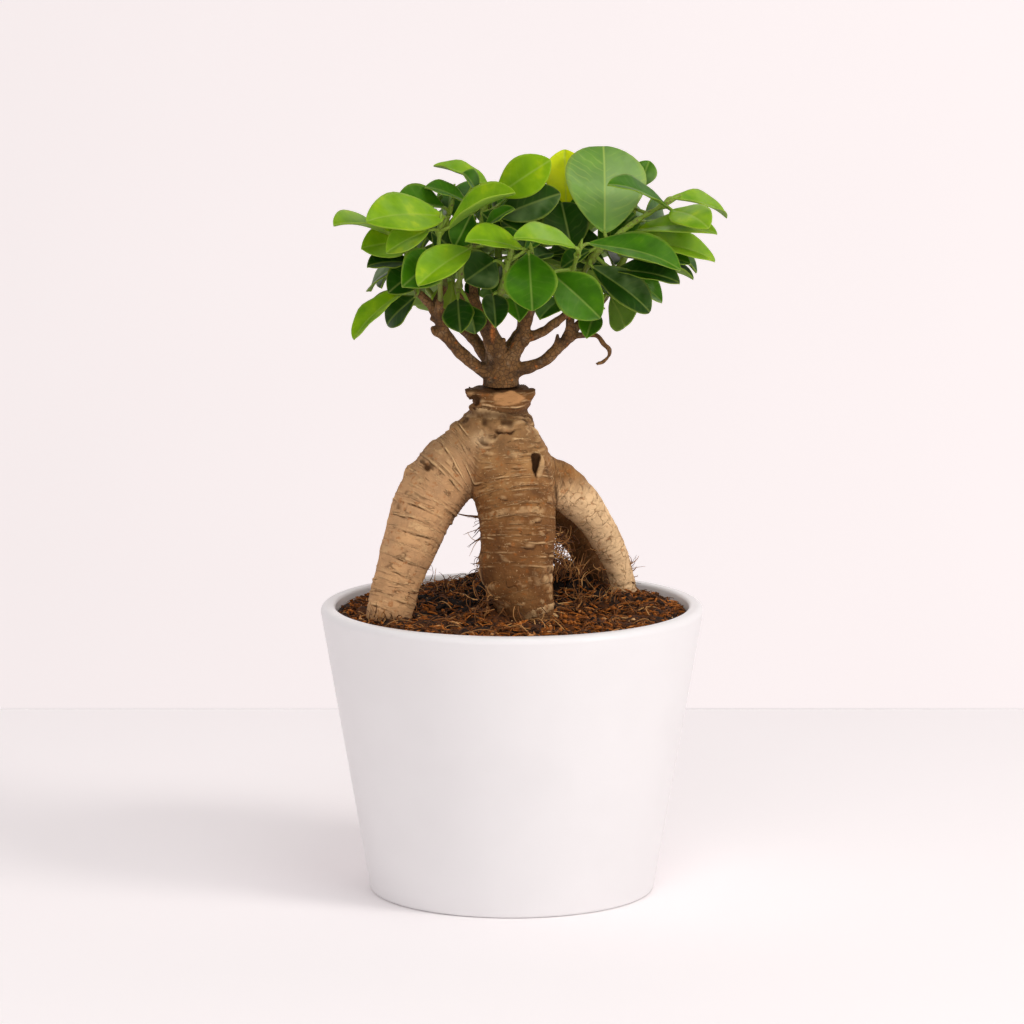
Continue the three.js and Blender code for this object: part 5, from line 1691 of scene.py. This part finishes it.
    def readings(self, points: np.ndarray, paths: Sequence[np.ndarray]) -> tuple[np.ndarray, np.ndarray]:
        """Measure how far each point is off each chain, and how far down along each chain it lies."""
        gaps, rings = [], []
        down = self.top - points[:, 2]
        for path in paths:
            gap, along = chain_reading(points, path)
            started = rising(along, 14)
            started = started * started * (3 - 2 * started)
            gaps.append(gap)
            rings.append(down + started * (self.top - path[0][2] + along - down))
        return np.array(gaps), np.array(rings)

    def cut(self, points: np.ndarray) -> np.ndarray:
        """Give where the pruned face shows bare wood, an oval with a ragged edge."""
        ragged = 0.26 * soft_noise(points, 3.0, 12) + 0.12 * soft_noise(points, 1.3, 13)
        (at_x, at_z), (wide, tall) = self.cut_at, self.cut_size
        oval = np.hypot((points[:, 0] - at_x) / wide, (points[:, 2] - at_z) / tall)
        return held((1.0 + ragged - oval) * 6) * (points[:, 1] < -3)

    def crease(self, points: np.ndarray, gaps: np.ndarray, slot: np.ndarray) -> np.ndarray:
        """Give the painted shade in valleys between roots, in the slot, the waist, the collar and at scars."""
        height = points[:, 2]
        first, second = np.sort(gaps, axis=0)[:2]
        column = np.minimum(gaps[0], gaps[2])
        collar = bell(height - self.collar_z, 2.4)
        found = [
            0.8 * held(1 - (second - first) / 2.0) * rising(156 - height, 6),
            1.1 * rising(0.8 - slot, 0.6),
            0.66 * bell(height - self.waist_z - 0.4, 1.7),
            0.75 * collar * held(0.15 - 1.6 * soft_noise(points, 2.4, 16)),
        ]
        for side, strength, below in ((1, 0.42, 167), (3, 0.5, 160)):
            valley = held(1 - np.abs(gaps[side] - column) / 2.2) ** 1.5
            found.append(strength * valley * rising(below - height, 6))
        for scar in self.scars:
            if scar.groove:
                found.append(1.1 * scar.shade(points))
            if scar.rise < 0:
                found.append(1.1 * held(1.3 - scar.reach(points)))
        return np.max(found, axis=0)

    def raised(self, points: np.ndarray, slot: np.ndarray) -> np.ndarray:
        """Give how far each point lies on a light rise: a small scar or the lip beside the slot."""
        lip = chain_reading(points, along_chain(self.slot_lip, 3))[0]
        found = [
            0.45 * held(1.3 - 1.2 * scar.reach(points))
            for scar in self.scars if scar.rise >= 0 and scar.radius < 2.5
        ]
        return np.max([*found, 0.5 * rising(0.5 - lip, 0.4)], axis=0) * rising(slot - 0.3, 0.4)

    def courses(
        self, points: np.ndarray, ring: np.ndarray, show: np.ndarray, name: str, spacing: float, seed: float
    ) -> dict[str, np.ndarray]:
        """Lay out the corky ridges that run round the roots in broken lines.

        Args:
            points: The skin's points.
            ring: How far down its root each point lies.
            show: How strongly the ridges show there.
            name: The start of the marks' names.
            spacing: Millimetres from ridge to ridge.
            seed: Moves the pattern.

        Returns:
            The count of ridges down to each point, and how whole the ridge is there.
        """
        sway = 0.34 * soft_noise(points, 13, seed) + 0.07 * soft_noise(points, 3, seed + 1)
        patches = np.column_stack([points / 6.0, ring / 2.0])
        broken = held(soft_noise(patches, 1, seed + 2) * 2.4 + 0.3)
        return {name + "_course": ring / spacing + sway, name + "_whole": broken * show}

    def ridge_rise(
        self, marks: dict[str, np.ndarray], name: str, spacing: float, height: float
    ) -> np.ndarray:
        """Give how far one set of ridges raises each point, with a slight hollow under each ridge."""
        course = marks[name + "_course"]
        below = (course - np.round(course)) * spacing
        ridge = bell(below, 0.36) - 0.5 * bell(below - 0.8, 0.45)
        return height * ridge * marks[name + "_whole"]

    def barked(self, points: np.ndarray, faces: np.ndarray, marks: dict[str, np.ndarray]) -> np.ndarray:
        """Raise rings, lumps, scars and grain along the skin's own directions.

        Args:
            points: The skin's points.
            faces: The skin's faces.
            marks: What was measured at each point.

        Returns:
            The moved points.
        """
        normals = face_normals(points, faces)
        course = np.column_stack([points / 2.8, marks["ring"] / 0.85])
        broad = np.column_stack([points / 4.5, marks["ring"] / 1.9])
        lips = held(soft_noise(course, 2.0, 3) - 0.15) + 0.8 * held(soft_noise(broad, 2.0, 8) - 0.1)
        lumps = soft_noise(points, 7, 4) + 0.5 * soft_noise(points, 3, 5) + 0.25 * soft_noise(points, 1.5, 6)
        rough = self.lump_height * (1 + 1.5 * marks["stub"])
        rise = self.ring_height * 0.45 * lips + rough * lumps - 0.1
        rise += self.ridge_rise(marks, "ridge", self.ridge_spacing, self.ridge_height)
        rise += self.ridge_rise(marks, "fine", self.fine_spacing, self.fine_height)
        rise -= self.waist_depth * bell(points[:, 2] - self.waist_z - 0.8 * lumps, 1.3)
        knobs = 0.6 + 1.2 * soft_noise(points, 2.4, 16)
        rise += self.collar_height * knobs * bell(points[:, 2] - self.collar_z - 0.9 * lumps, 1.2)
        for scar in self.scars:
            rise += scar.lift(points)
        flat = 0.15 * soft_noise(points, 1.6, 7) - 0.35
        rise = rise * (1 - marks["cut"]) + flat * marks["cut"]
        rise = np.where(points[:, 2] > self.top - 0.4, np.minimum(rise, 0.0), rise)
        rise = np.where(points[:, 2] < self.buried_z, -0.2, rise)
        return points + normals * rise[:, None]


@dataclass
class GraftedWood:
    """The neck of the graft with its limbs, pruned stubs and one dead twig, all one piece of brown wood."""

    cell: float = 0.5
    blend: float = 1.3
    margin: float = 3.0
    foot: float = 186.3
    thick_z: float = 190.0
    torn_streak: tuple[float, ...] = (-7.0, -1.0, 206.5, 0.8, 3.4)

    def build(self) -> bpy.types.Object:
        """Draw the limbs' skin and roughen it.

        Returns:
            The piece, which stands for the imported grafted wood.
        """
        paths = [along_chain(chain, 3) for chain in (*LIMBS.values(), *SNAGS)]
        grid = Grid.round(paths, 1, self.cell, 6.0)
        values = grid.chain(paths[0], self.margin)
        for path in paths[1:]:
            values = melted(values, grid.chain(path, self.margin), self.blend)
        grid.values = np.maximum(values, -grid.offsets(EVERYWHERE, np.array([0, 0, self.foot]))[2])
        points, faces = grid.skin()
        normals = face_normals(points, faces)
        rise = 0.34 * soft_noise(points, 3.4, 1) + 0.22 * soft_noise(points, 1.5, 2)
        rise *= 1 - 0.55 * rising(points[:, 2] - self.thick_z, 30)
        rise[points[:, 2] < self.foot + 0.4] = 0
        draft = Draft("grafted_wood_fine")
        x, y, z, width, half = self.torn_streak
        far = np.hypot((points[:, 0] - x) / width, (points[:, 2] - z) / half)
        torn = held(1.4 - far) * (points[:, 1] < y)
        draft.add(points + normals * rise[:, None], faces.tolist(), 0, streak=torn)
        return draft.made([BrownTwigBark()], "grafted_wood")


@dataclass
class Pot:
    """A plain round pot, slip-cast, with a soft rim, a thin wall and a small rounded foot."""

    rim_radius: float = 70.0
    height: float = 106.0
    foot_radius: float = 52.3
    wall: float = 5.4
    floor: float = 7.0
    rim_round: float = 2.4
    inner_round: float = 1.4
    foot_round: float = 1.4
    floor_round: float = 4.0
    sides: int = 180

    def inner_radius(self, z: float | np.ndarray) -> float | np.ndarray:
        """Give the radius of the inner wall at a height."""
        return self.foot_radius + (self.rim_radius - self.foot_radius) * z / self.height - self.wall

    def profile(self) -> np.ndarray:
        """Give the turned outline, from the middle of the underside round to that of the inner floor."""
        def arc(x: float, z: float, radius: float, start: float, end: float, steps: int) -> list[list[float]]:
            """Give the points of a round corner."""
            angles = np.radians(np.linspace(start, end, steps + 1))
            return [[x + radius * math.cos(a), z + radius * math.sin(a)] for a in angles]

        low, soft = self.foot_round, self.rim_round
        outer = arc(self.foot_radius - low, low, low, -90, -8, 6)
        rim = arc(self.rim_radius - soft, self.height - soft, soft, -8, 90, 14)
        inner_rim = self.rim_radius - self.wall + self.inner_round
        lip = arc(inner_rim, self.height - self.inner_round, self.inner_round, 90, 172, 8)
        turn = self.inner_radius(self.floor + self.floor_round) - self.floor_round
        inside = arc(turn, self.floor + self.floor_round, self.floor_round, -8, -90, 6)
        wall = [[a + (b - a) * t for a, b in zip(outer[-1], rim[0])] for t in np.linspace(0, 1, 14)[1:-1]]
        foot = [[0.5, 0.0], [self.foot_radius - 5, 0.0]]
        return np.array([*foot, *outer, *wall, *rim, *lip, *inside, [0.5, self.floor]])

    def build(self) -> bpy.types.Object:
        """Turn the outline round the upright axis.

        Returns:
            The piece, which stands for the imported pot.
        """
        outline = self.profile()
        angles = np.arange(self.sides) / self.sides * FULL_TURN
        radius, level = outline[:, :1], outline[:, 1:]
        x, y = radius * np.cos(angles), radius * np.sin(angles)
        z = np.repeat(level, self.sides, axis=1)
        draft = Draft("pot_fine")
        draft.add(np.stack([x, y, z], axis=2).reshape(-1, 3), ring_faces(len(outline), self.sides))
        return draft.made([GlazedStoneware()], "pot")


# A crumb before it is stretched: twenty three-sided faces on twelve corners.
CRUMB_POINTS = np.array([
    (0, 0, 1), (0.9, 0, 0.45), (0.28, 0.85, 0.45), (-0.72, 0.53, 0.45), (-0.72, -0.53, 0.45),
    (0.28, -0.85, 0.45), (0.72, 0.53, -0.45), (-0.28, 0.85, -0.45), (-0.9, 0, -0.45),
    (-0.28, -0.85, -0.45), (0.72, -0.53, -0.45), (0, 0, -1),
])
CRUMB_FACES = [
    (0, 1, 2), (0, 2, 3), (0, 3, 4), (0, 4, 5), (0, 5, 1), (1, 6, 2), (2, 7, 3), (3, 8, 4), (4, 9, 5),
    (5, 10, 1), (2, 6, 7), (3, 7, 8), (4, 8, 9), (5, 9, 10), (1, 10, 6), (11, 7, 6), (11, 8, 7),
    (11, 9, 8), (11, 10, 9), (11, 6, 10),
]


@dataclass
class Soil:
    """The potting mix: a lumpy surface strewn with crumbs, bark chips and fine dead roots."""

    pot: Pot
    edge_z: float = 103.6
    wall_gap: float = 0.35
    floor_gap: float = 0.3
    floor_inset: float = 4.5
    floor_round: float = 4.0
    rings: int = 52
    sides: int = 220
    crumb_seed: int = 90210
    shred_seed: int = 5150
    thread_seed: int = 4711
    crumbs: int = 3600
    least_crumb: float = 0.35
    crumb_growth: float = 1.25
    chip_share: float = 0.4
    shreds: int = 2100
    threads: int = 420
    hollow_shade_depth: float = 0.5
    bumps: Chain = ((2.5, 5.4, 9), (1.1, 2.6, 1), (0.5, 1.2, 2))
    mounds: Chain = ((-2, 14, 10.5, 26), (24, 24, 9, 13), (46, 2, 5, 15))
    shaded_hollows: Chain = ((-21, 3, 12), (22, 10, 13), (-14, 18, 12))

    def height(self, x: np.ndarray, y: np.ndarray) -> np.ndarray:
        """Give the height of the soil's surface, without its crumbs."""
        heap = sum(rise * bell(np.hypot(x - mx, y - my), reach) for mx, my, rise, reach in self.mounds)
        edge = rising(self.pot.inner_radius(self.edge_z) - np.hypot(x, y), 14)
        lumps = 0.9 * np.sin(x / 5.1 + 1) * np.cos(y / 6.3) + 0.6 * np.sin(y / 3.7 - x / 7.9)
        return self.edge_z + edge * (heap + lumps)

    def level(self, x: float, y: float) -> float:
        """Give the height of the surface at one place."""
        return float(self.height(np.array(x), np.array(y)))

    def build(self) -> list[bpy.types.Object]:
        """Draw the body, its crumbs and its threads.

        Returns:
            The soil piece and the thread piece.
        """
        draft = Draft("soil_fine")
        bottom = self.pot.floor + self.floor_gap
        edge = self.pot.inner_radius(self.edge_z) - self.wall_gap
        angles = np.arange(self.sides) / self.sides * FULL_TURN
        rows = []
        for radius, z in (
            (1.0, bottom), (self.pot.inner_radius(bottom) - self.floor_inset, bottom),
            (self.pot.inner_radius(bottom + self.floor_round) - self.wall_gap, bottom + self.floor_round),
        ):
            x, y = radius * np.cos(angles), radius * np.sin(angles)
            rows.append(np.column_stack([x, y, np.full(self.sides, z)]))
        for ring in range(self.rings, 0, -1):
            radius = edge * ring / self.rings
            x, y = radius * np.cos(angles), radius * np.sin(angles)
            rough = np.column_stack([x, y, np.zeros(self.sides)])
            bumps = sum(rise * soft_noise(rough, size, seed) for rise, size, seed in self.bumps)
            inward = rising(edge - np.hypot(x, y), 3)
            rows.append(np.column_stack([x, y, self.height(x, y) + bumps * inward - 0.9]))
        points = np.concatenate(rows)
        # Painted shade darkens the mix in the hollows between the roots.
        shade = 0.12 + 0.14 * soft_noise(points, 4, 4) - self.hollow_shade(points[:, 0], points[:, 1])
        draft.add(points, ring_faces(len(rows), self.sides), 0, shade=shade)
        self.add_crumbs(draft, edge)
        self.add_shreds(draft, edge)
        piece = draft.made([PeatAndBarkMix()], "soil")
        return [piece, self.threads_piece(edge)]

    def hollow_shade(self, x: np.ndarray, y: np.ndarray) -> np.ndarray:
        """Give the painted shade that darkens the mix in the sheltered hollows between the roots."""
        return self.hollow_shade_depth * sum(bell(np.hypot(x - dx, y - dy), reach) for dx, dy, reach in self.shaded_hollows)

    def add_crumbs(self, draft: Draft, edge: float) -> None:
        """Strew crumbs of peat and flat chips of bark over the surface."""
        draw = Draw(self.crumb_seed)
        for _ in range(self.crumbs):
            size = self.least_crumb + self.crumb_growth * draw.next() ** 3
            x, y = scattered(draw, edge - size - 0.4)
            chip = draw.next() < self.chip_share
            stretch = np.array([1.9 if chip else 1.1, 0.8, 0.4 if chip else 0.7]) * size
            jitter = 1 + 0.9 * (np.array([draw.next() for _ in range(12)])[:, None] - 0.5)
            turn = rotation(draw.between(0, 6.3), draw.between(-0.5, 0.5), draw.between(-0.5, 0.5))
            z = self.level(x, y) + draw.between(-0.9, 0.5)
            shade = draw.next()
            tone = 0.05 + 0.6 * shade**1.5 if shade < 0.97 else 0.7 + 9.0 * (shade - 0.97)
            # Painted shade darkens crumbs in the hollows between the roots.
            tone -= float(self.hollow_shade(np.array(x), np.array(y)))
            crumb = np.array([x, y, z]) + (CRUMB_POINTS * jitter * stretch) @ turn.T
            draft.add(crumb, CRUMB_FACES, 0, shade=tone)

    def add_shreds(self, draft: Draft, edge: float) -> None:
        """Strew short shreds of bark fibre that lie and stick up every way."""
        draw = Draw(self.shred_seed)
        for _ in range(self.shreds):
            length = draw.between(1.8, 8.0)
            x, y = scattered(draw, edge - length / 2 - 0.8)
            heading, tilt = draw.between(0, 6.3), draw.between(-0.15, 0.6)
            flat = math.cos(tilt)
            way = np.array([math.cos(heading) * flat, math.sin(heading) * flat, math.sin(tilt)])
            start = np.array([x, y, self.level(x, y) - 0.5 + draw.between(0, 0.5)])
            share = np.linspace(-0.5, 0.5, 5)[:, None]
            bend = np.array([0, 0, draw.between(-0.6, 0.9)]) * (0.25 - share**2)
            path = start + share * length * way + bend * length * 0.6
            if np.hypot(path[:, 0], path[:, 1]).max() > edge - 0.6:
                continue
            girth = draw.between(0.16, 0.46) * np.array([0.5, 1, 0.9, 1, 0.4])
            draft.add(*tube(path, girth, HAIR_SIDES), 0, shade=0.2 + 0.6 * draw.next() ** 1.2)

    def threads_piece(self, edge: float) -> bpy.types.Object:
        """Draw fine dead roots that lie curled on the soil."""
        draw = Draw(self.thread_seed)
        draft = Draft("hair_roots_on_soil")
        for _ in range(self.threads):
            x, y = scattered(draw, edge - 4)
            heading, curl = draw.between(0, 6.3), draw.between(-0.22, 0.22)
            rise, step = draw.between(0.2, 2.6), draw.between(0.5, 1.2)
            rows = []
            for k in range(13):
                if math.hypot(x, y) > edge - 1.5:
                    break
                rows.append((x, y, self.level(x, y) - 0.2 + rise * math.sin(math.pi * k / 12)))
                heading += curl + draw.between(-0.35, 0.35)
                x, y = x + step * math.cos(heading), y + step * math.sin(heading)
            if len(rows) < 5:
                continue
            girth = np.linspace(draw.between(0.13, 0.3), 0.09, len(rows))
            draft.add(*tube(np.array(rows), girth, HAIR_SIDES), 0, shade=draw.next() ** 2.2)
        return draft.made([HairRoot()], None)


@dataclass(frozen=True)
class RootTuft:
    """A cluster of hair roots: where they start, how far apart, where they head, how many and how long."""

    at: tuple[float, float, float]
    spread: tuple[float, float, float]
    heads: tuple[float, float, float]
    count: int
    length: float
    girth: float = 0.2


@dataclass
class HairRoots:
    """Fine dead roots that hang from the stock and tangle in the gaps between its roots."""

    seed: int = 31337
    steps: int = 14
    stiff_girth: float = 0.4
    heights: tuple[float, float] = (102.0, 150.0)
    tufts: tuple[RootTuft, ...] = tuple(RootTuft(*row) for row in (
        ((-11.5, -8.5, 139.6), (0.3, 0.5, 0.3), (-1, 0, 0.02), 1, 9.0, 0.45),
        ((-11.0, -8.5, 138.4), (0.6, 1.0, 0.9), (-1, 0, 0.15), 4, 6.0, 0.2),
        ((-11.3, -9.0, 133.0), (0.8, 2.0, 3.0), (-0.7, 0, -0.7), 8, 7.5, 0.2),
        ((-11.5, -10.0, 122.0), (1.0, 3.0, 4.0), (-0.6, 0, -0.5), 14, 6.0, 0.18),
        ((-32.5, -10.0, 124.0), (2.0, 3.0, 6.0), (0.8, 0, -0.4), 10, 4.5, 0.16),
        ((14.5, -6.0, 129.0), (1.0, 5.0, 7.0), (0.7, 0.5, -0.3), 62, 10.0, 0.24),
        ((18.0, 12.0, 126.0), (4.5, 4.0, 7.0), (-0.1, -0.6, -0.3), 60, 9.0, 0.26),
        ((20.0, 4.0, 115.0), (6.0, 7.0, 2.0), (0.1, 0, 1.0), 60, 9.0, 0.24),
        ((33.5, 6.0, 122.0), (2.0, 2.0, 5.0), (-0.8, -0.2, -0.2), 12, 6.0, 0.18),
        ((43.0, 11.0, 115.5), (1.5, 2.0, 3.5), (0.9, 0, 0.4), 14, 5.5, 0.18),
        ((4.0, -26.0, 109.0), (8.0, 3.0, 1.6), (0.1, -0.6, -0.6), 22, 8.0, 0.18),
        ((-8.0, -24.0, 110.0), (6.0, 4.0, 4.0), (-0.3, -0.5, 0.1), 30, 8.0, 0.2),
        ((-38.0, -18.0, 112.0), (4.0, 4.0, 4.0), (0.8, -0.2, -0.3), 18, 6.0, 0.18),
        ((-46.0, -25.0, 104.6), (7.0, 2.0, 0.8), (0.2, -0.3, 0.5), 26, 6.0, 0.2),
        ((30.0, -4.0, 107.5), (8.0, 6.0, 1.5), (0.2, -0.5, 0.5), 34, 8.0, 0.2),
        ((-22.0, -4.0, 113.0), (8.0, 7.0, 2.0), (0, -0.2, 0.9), 34, 6.0, 0.18),
        ((34.0, 20.0, 112.0), (7.0, 6.0, 2.5), (0.2, 0, 0.8), 26, 7.0, 0.18),
    ))

    def build(self) -> bpy.types.Object:
        """Draw every tuft.

        Returns:
            The piece, which rides on the plant.
        """
        draw = Draw(self.seed)
        draft = Draft("hair_roots_on_stock")
        for tuft in self.tufts:
            for _ in range(tuft.count):
                self.add_hair(draft, tuft, draw)
        return draft.made([HairRoot()], None)

    def add_hair(self, draft: Draft, tuft: RootTuft, draw: Draw) -> None:
        """Draw one hair root that wanders and curls as it grows.

        Args:
            draft: The mesh being drawn up.
            tuft: The cluster it belongs to.
            draw: The repeatable draw.
        """
        place = np.array(tuft.at) + np.array(tuft.spread) * draw.vector()
        way = unit(np.array(tuft.heads) + 0.45 * draw.vector())
        axis = unit(draw.vector())
        most = 0.1 if tuft.girth > self.stiff_girth else 0.26
        bend = draw.between(-most, most)
        step = tuft.length * draw.between(0.6, 1.25) / self.steps
        rows = []
        for _ in range(self.steps):
            rows.append(place)
            way = unit(way + bend * np.cross(axis, way) + 0.12 * draw.vector())
            place = place + way * step
            place[2] = min(max(place[2], self.heights[0]), self.heights[1])
        girth = tuft.girth * draw.between(0.7, 1.3)
        girths = np.linspace(girth, 0.35 * girth, self.steps)
        draft.add(*tube(np.array(rows), girths, HAIR_SIDES), 0, shade=draw.next() ** 1.5)


def scattered(draw: Draw, reach: float) -> tuple[float, float]:
    """Draw a place on a round surface, as likely anywhere within a reach of its middle."""
    angle, radius = FULL_TURN * draw.next(), reach * math.sqrt(draw.next())
    return radius * math.cos(angle), radius * math.sin(angle)


def rotation(turn: float, pitch: float, roll: float) -> np.ndarray:
    """Give the matrix that rolls, pitches and then turns a shape about the upright axis."""
    ct, st, cp, sp, cr, sr = (f(a) for a in (turn, pitch, roll) for f in (math.cos, math.sin))
    about_z = np.array([[ct, -st, 0], [st, ct, 0], [0, 0, 1]])
    about_y = np.array([[cp, 0, sp], [0, 1, 0], [-sp, 0, cp]])
    about_x = np.array([[1, 0, 0], [0, cr, -sr], [0, sr, cr]])
    return about_z @ about_y @ about_x


@dataclass(frozen=True)
class SoftBox:
    """A round soft light: its name, place and width in metres, power in watts and sRGB hex colour."""

    name: str
    at: tuple[float, float, float]
    size: float
    power: float
    colour: str


@dataclass
class Studio:
    """The pale table, the paper behind it, soft lights and the camera of the photograph.

    The paper hangs far behind the table's edge, so the plant can be looked at from behind as well.
    """

    camera_at: tuple[float, float, float] = (0.0, -2.0538, 0.4759)
    pitch: float = 9.29
    lens: float = 200.34
    sensor_width: float = 36.0
    clip_end: float = 60.0
    table_edge: float = 0.334
    half_width: float = 6.0
    paper_y: float = 3.0
    paper_top: float = 5.0
    paper_foot: float = -1.2
    ledge_foot: float = -0.03
    joint: float = 0.0022
    world_strength: float = 0.58
    world_colour: str = "#fffbfb"
    aim: tuple[float, float, float] = (0, 0, 0.14)
    lights: tuple[SoftBox, ...] = (
        SoftBox("key", (1.5, -0.9, 1.15), 0.7, 13.7, "#fffaf5"),
        SoftBox("fill", (-0.5, -2.2, 1.0), 1.4, 7.6, "#fffdfb"),
        SoftBox("top", (0.35, -0.7, 1.8), 0.9, 6.0, "#ffffff"),
    )

    def build(self) -> None:
        """Set up table, paper, world, lights and camera."""
        wide, edge = self.half_width, self.table_edge
        self.add_board("floor", [(-wide, -wide, 0), (wide, -wide, 0), (wide, edge, 0), (-wide, edge, 0)])
        self.add_upright("table_ledge", edge + self.joint, self.ledge_foot, 0.0, PaleStudioFloor())
        self.add_upright("backdrop", self.paper_y, self.paper_foot, self.paper_top, GlowingBackdropPaper())
        self.add_world()
        for box in self.lights:
            self.add_light(box)
        self.add_camera()
        scene = bpy.context.scene
        scene.view_settings.view_transform = "Standard"
        scene.view_settings.look = "None"

    def add_upright(self, name: str, y: float, foot: float, top: float, finish: Finish) -> None:
        """Add a board that stands across the view.

        Args:
            name: The board's name.
            y: How far back it stands, in metres.
            foot: The height of its lower edge.
            top: The height of its upper edge.
            finish: What it is made of.
        """
        wide = self.half_width
        self.add_board(name, [(-wide, y, foot), (wide, y, foot), (wide, y, top), (-wide, y, top)], finish)

    def add_board(
        self, name: str, corners: list[tuple[float, float, float]], finish: Finish = PaleStudioFloor()
    ) -> None:
        """Add a flat studio board, which isn't part of the plant.

        Args:
            name: The board's name.
            corners: Its corners in metres.
            finish: What it is made of.
        """
        mesh = bpy.data.meshes.new(name)
        mesh.from_pydata(corners, [], [(0, 1, 2, 3)])
        mesh.materials.append(finish.material())
        board = bpy.data.objects.new(name, mesh)
        bpy.context.scene.collection.objects.link(board)

    def add_world(self) -> None:
        """Surround the plant with soft pale light."""
        world = bpy.data.worlds.new("studio")
        world.use_nodes = True
        background = world.node_tree.nodes["Background"]
        background.inputs["Color"].default_value = linear(self.world_colour)
        background.inputs["Strength"].default_value = self.world_strength
        bpy.context.scene.world = world

    def add_light(self, box: SoftBox) -> None:
        """Add a soft box that looks at the plant."""
        light = bpy.data.lights.new(box.name, "AREA")
        light.shape, light.size, light.energy = "DISK", box.size, box.power
        light.color = linear(box.colour)[:3]
        lamp = bpy.data.objects.new(box.name, light)
        lamp.location = box.at
        ahead = Vector(self.aim) - Vector(box.at)
        lamp.rotation_euler = ahead.to_track_quat("-Z", "Y").to_euler()
        bpy.context.scene.collection.objects.link(lamp)

    def add_camera(self) -> None:
        """Add the camera of the photograph, looking a little down along +Y."""
        camera = bpy.data.cameras.new("camera")
        camera.lens = self.lens
        camera.sensor_width = self.sensor_width
        camera.clip_end = self.clip_end
        eye = bpy.data.objects.new("camera", camera)
        eye.location = self.camera_at
        eye.rotation_euler = (math.radians(90 - self.pitch), 0, 0)
        bpy.context.scene.collection.objects.link(eye)
        bpy.context.scene.camera = eye


def main() -> None:
    """Build every part of the plant in order, then the studio round it."""
    logging.basicConfig(level=logging.INFO, format="%(name)s: %(message)s")
    pot = Pot()
    pot.build()
    Soil(pot).build()
    RootStock().build()
    HairRoots().build()
    GraftedWood().build()
    plan = LeafPlan()
    leaves = plan.leaves()
    for name in SHOOTS:
        own = [leaf for leaf in leaves if leaf.shoot == name]
        LeafyShoot(name, plan.twig(name), own).build()
    Studio().build()


if __name__ == "__main__":
    main()
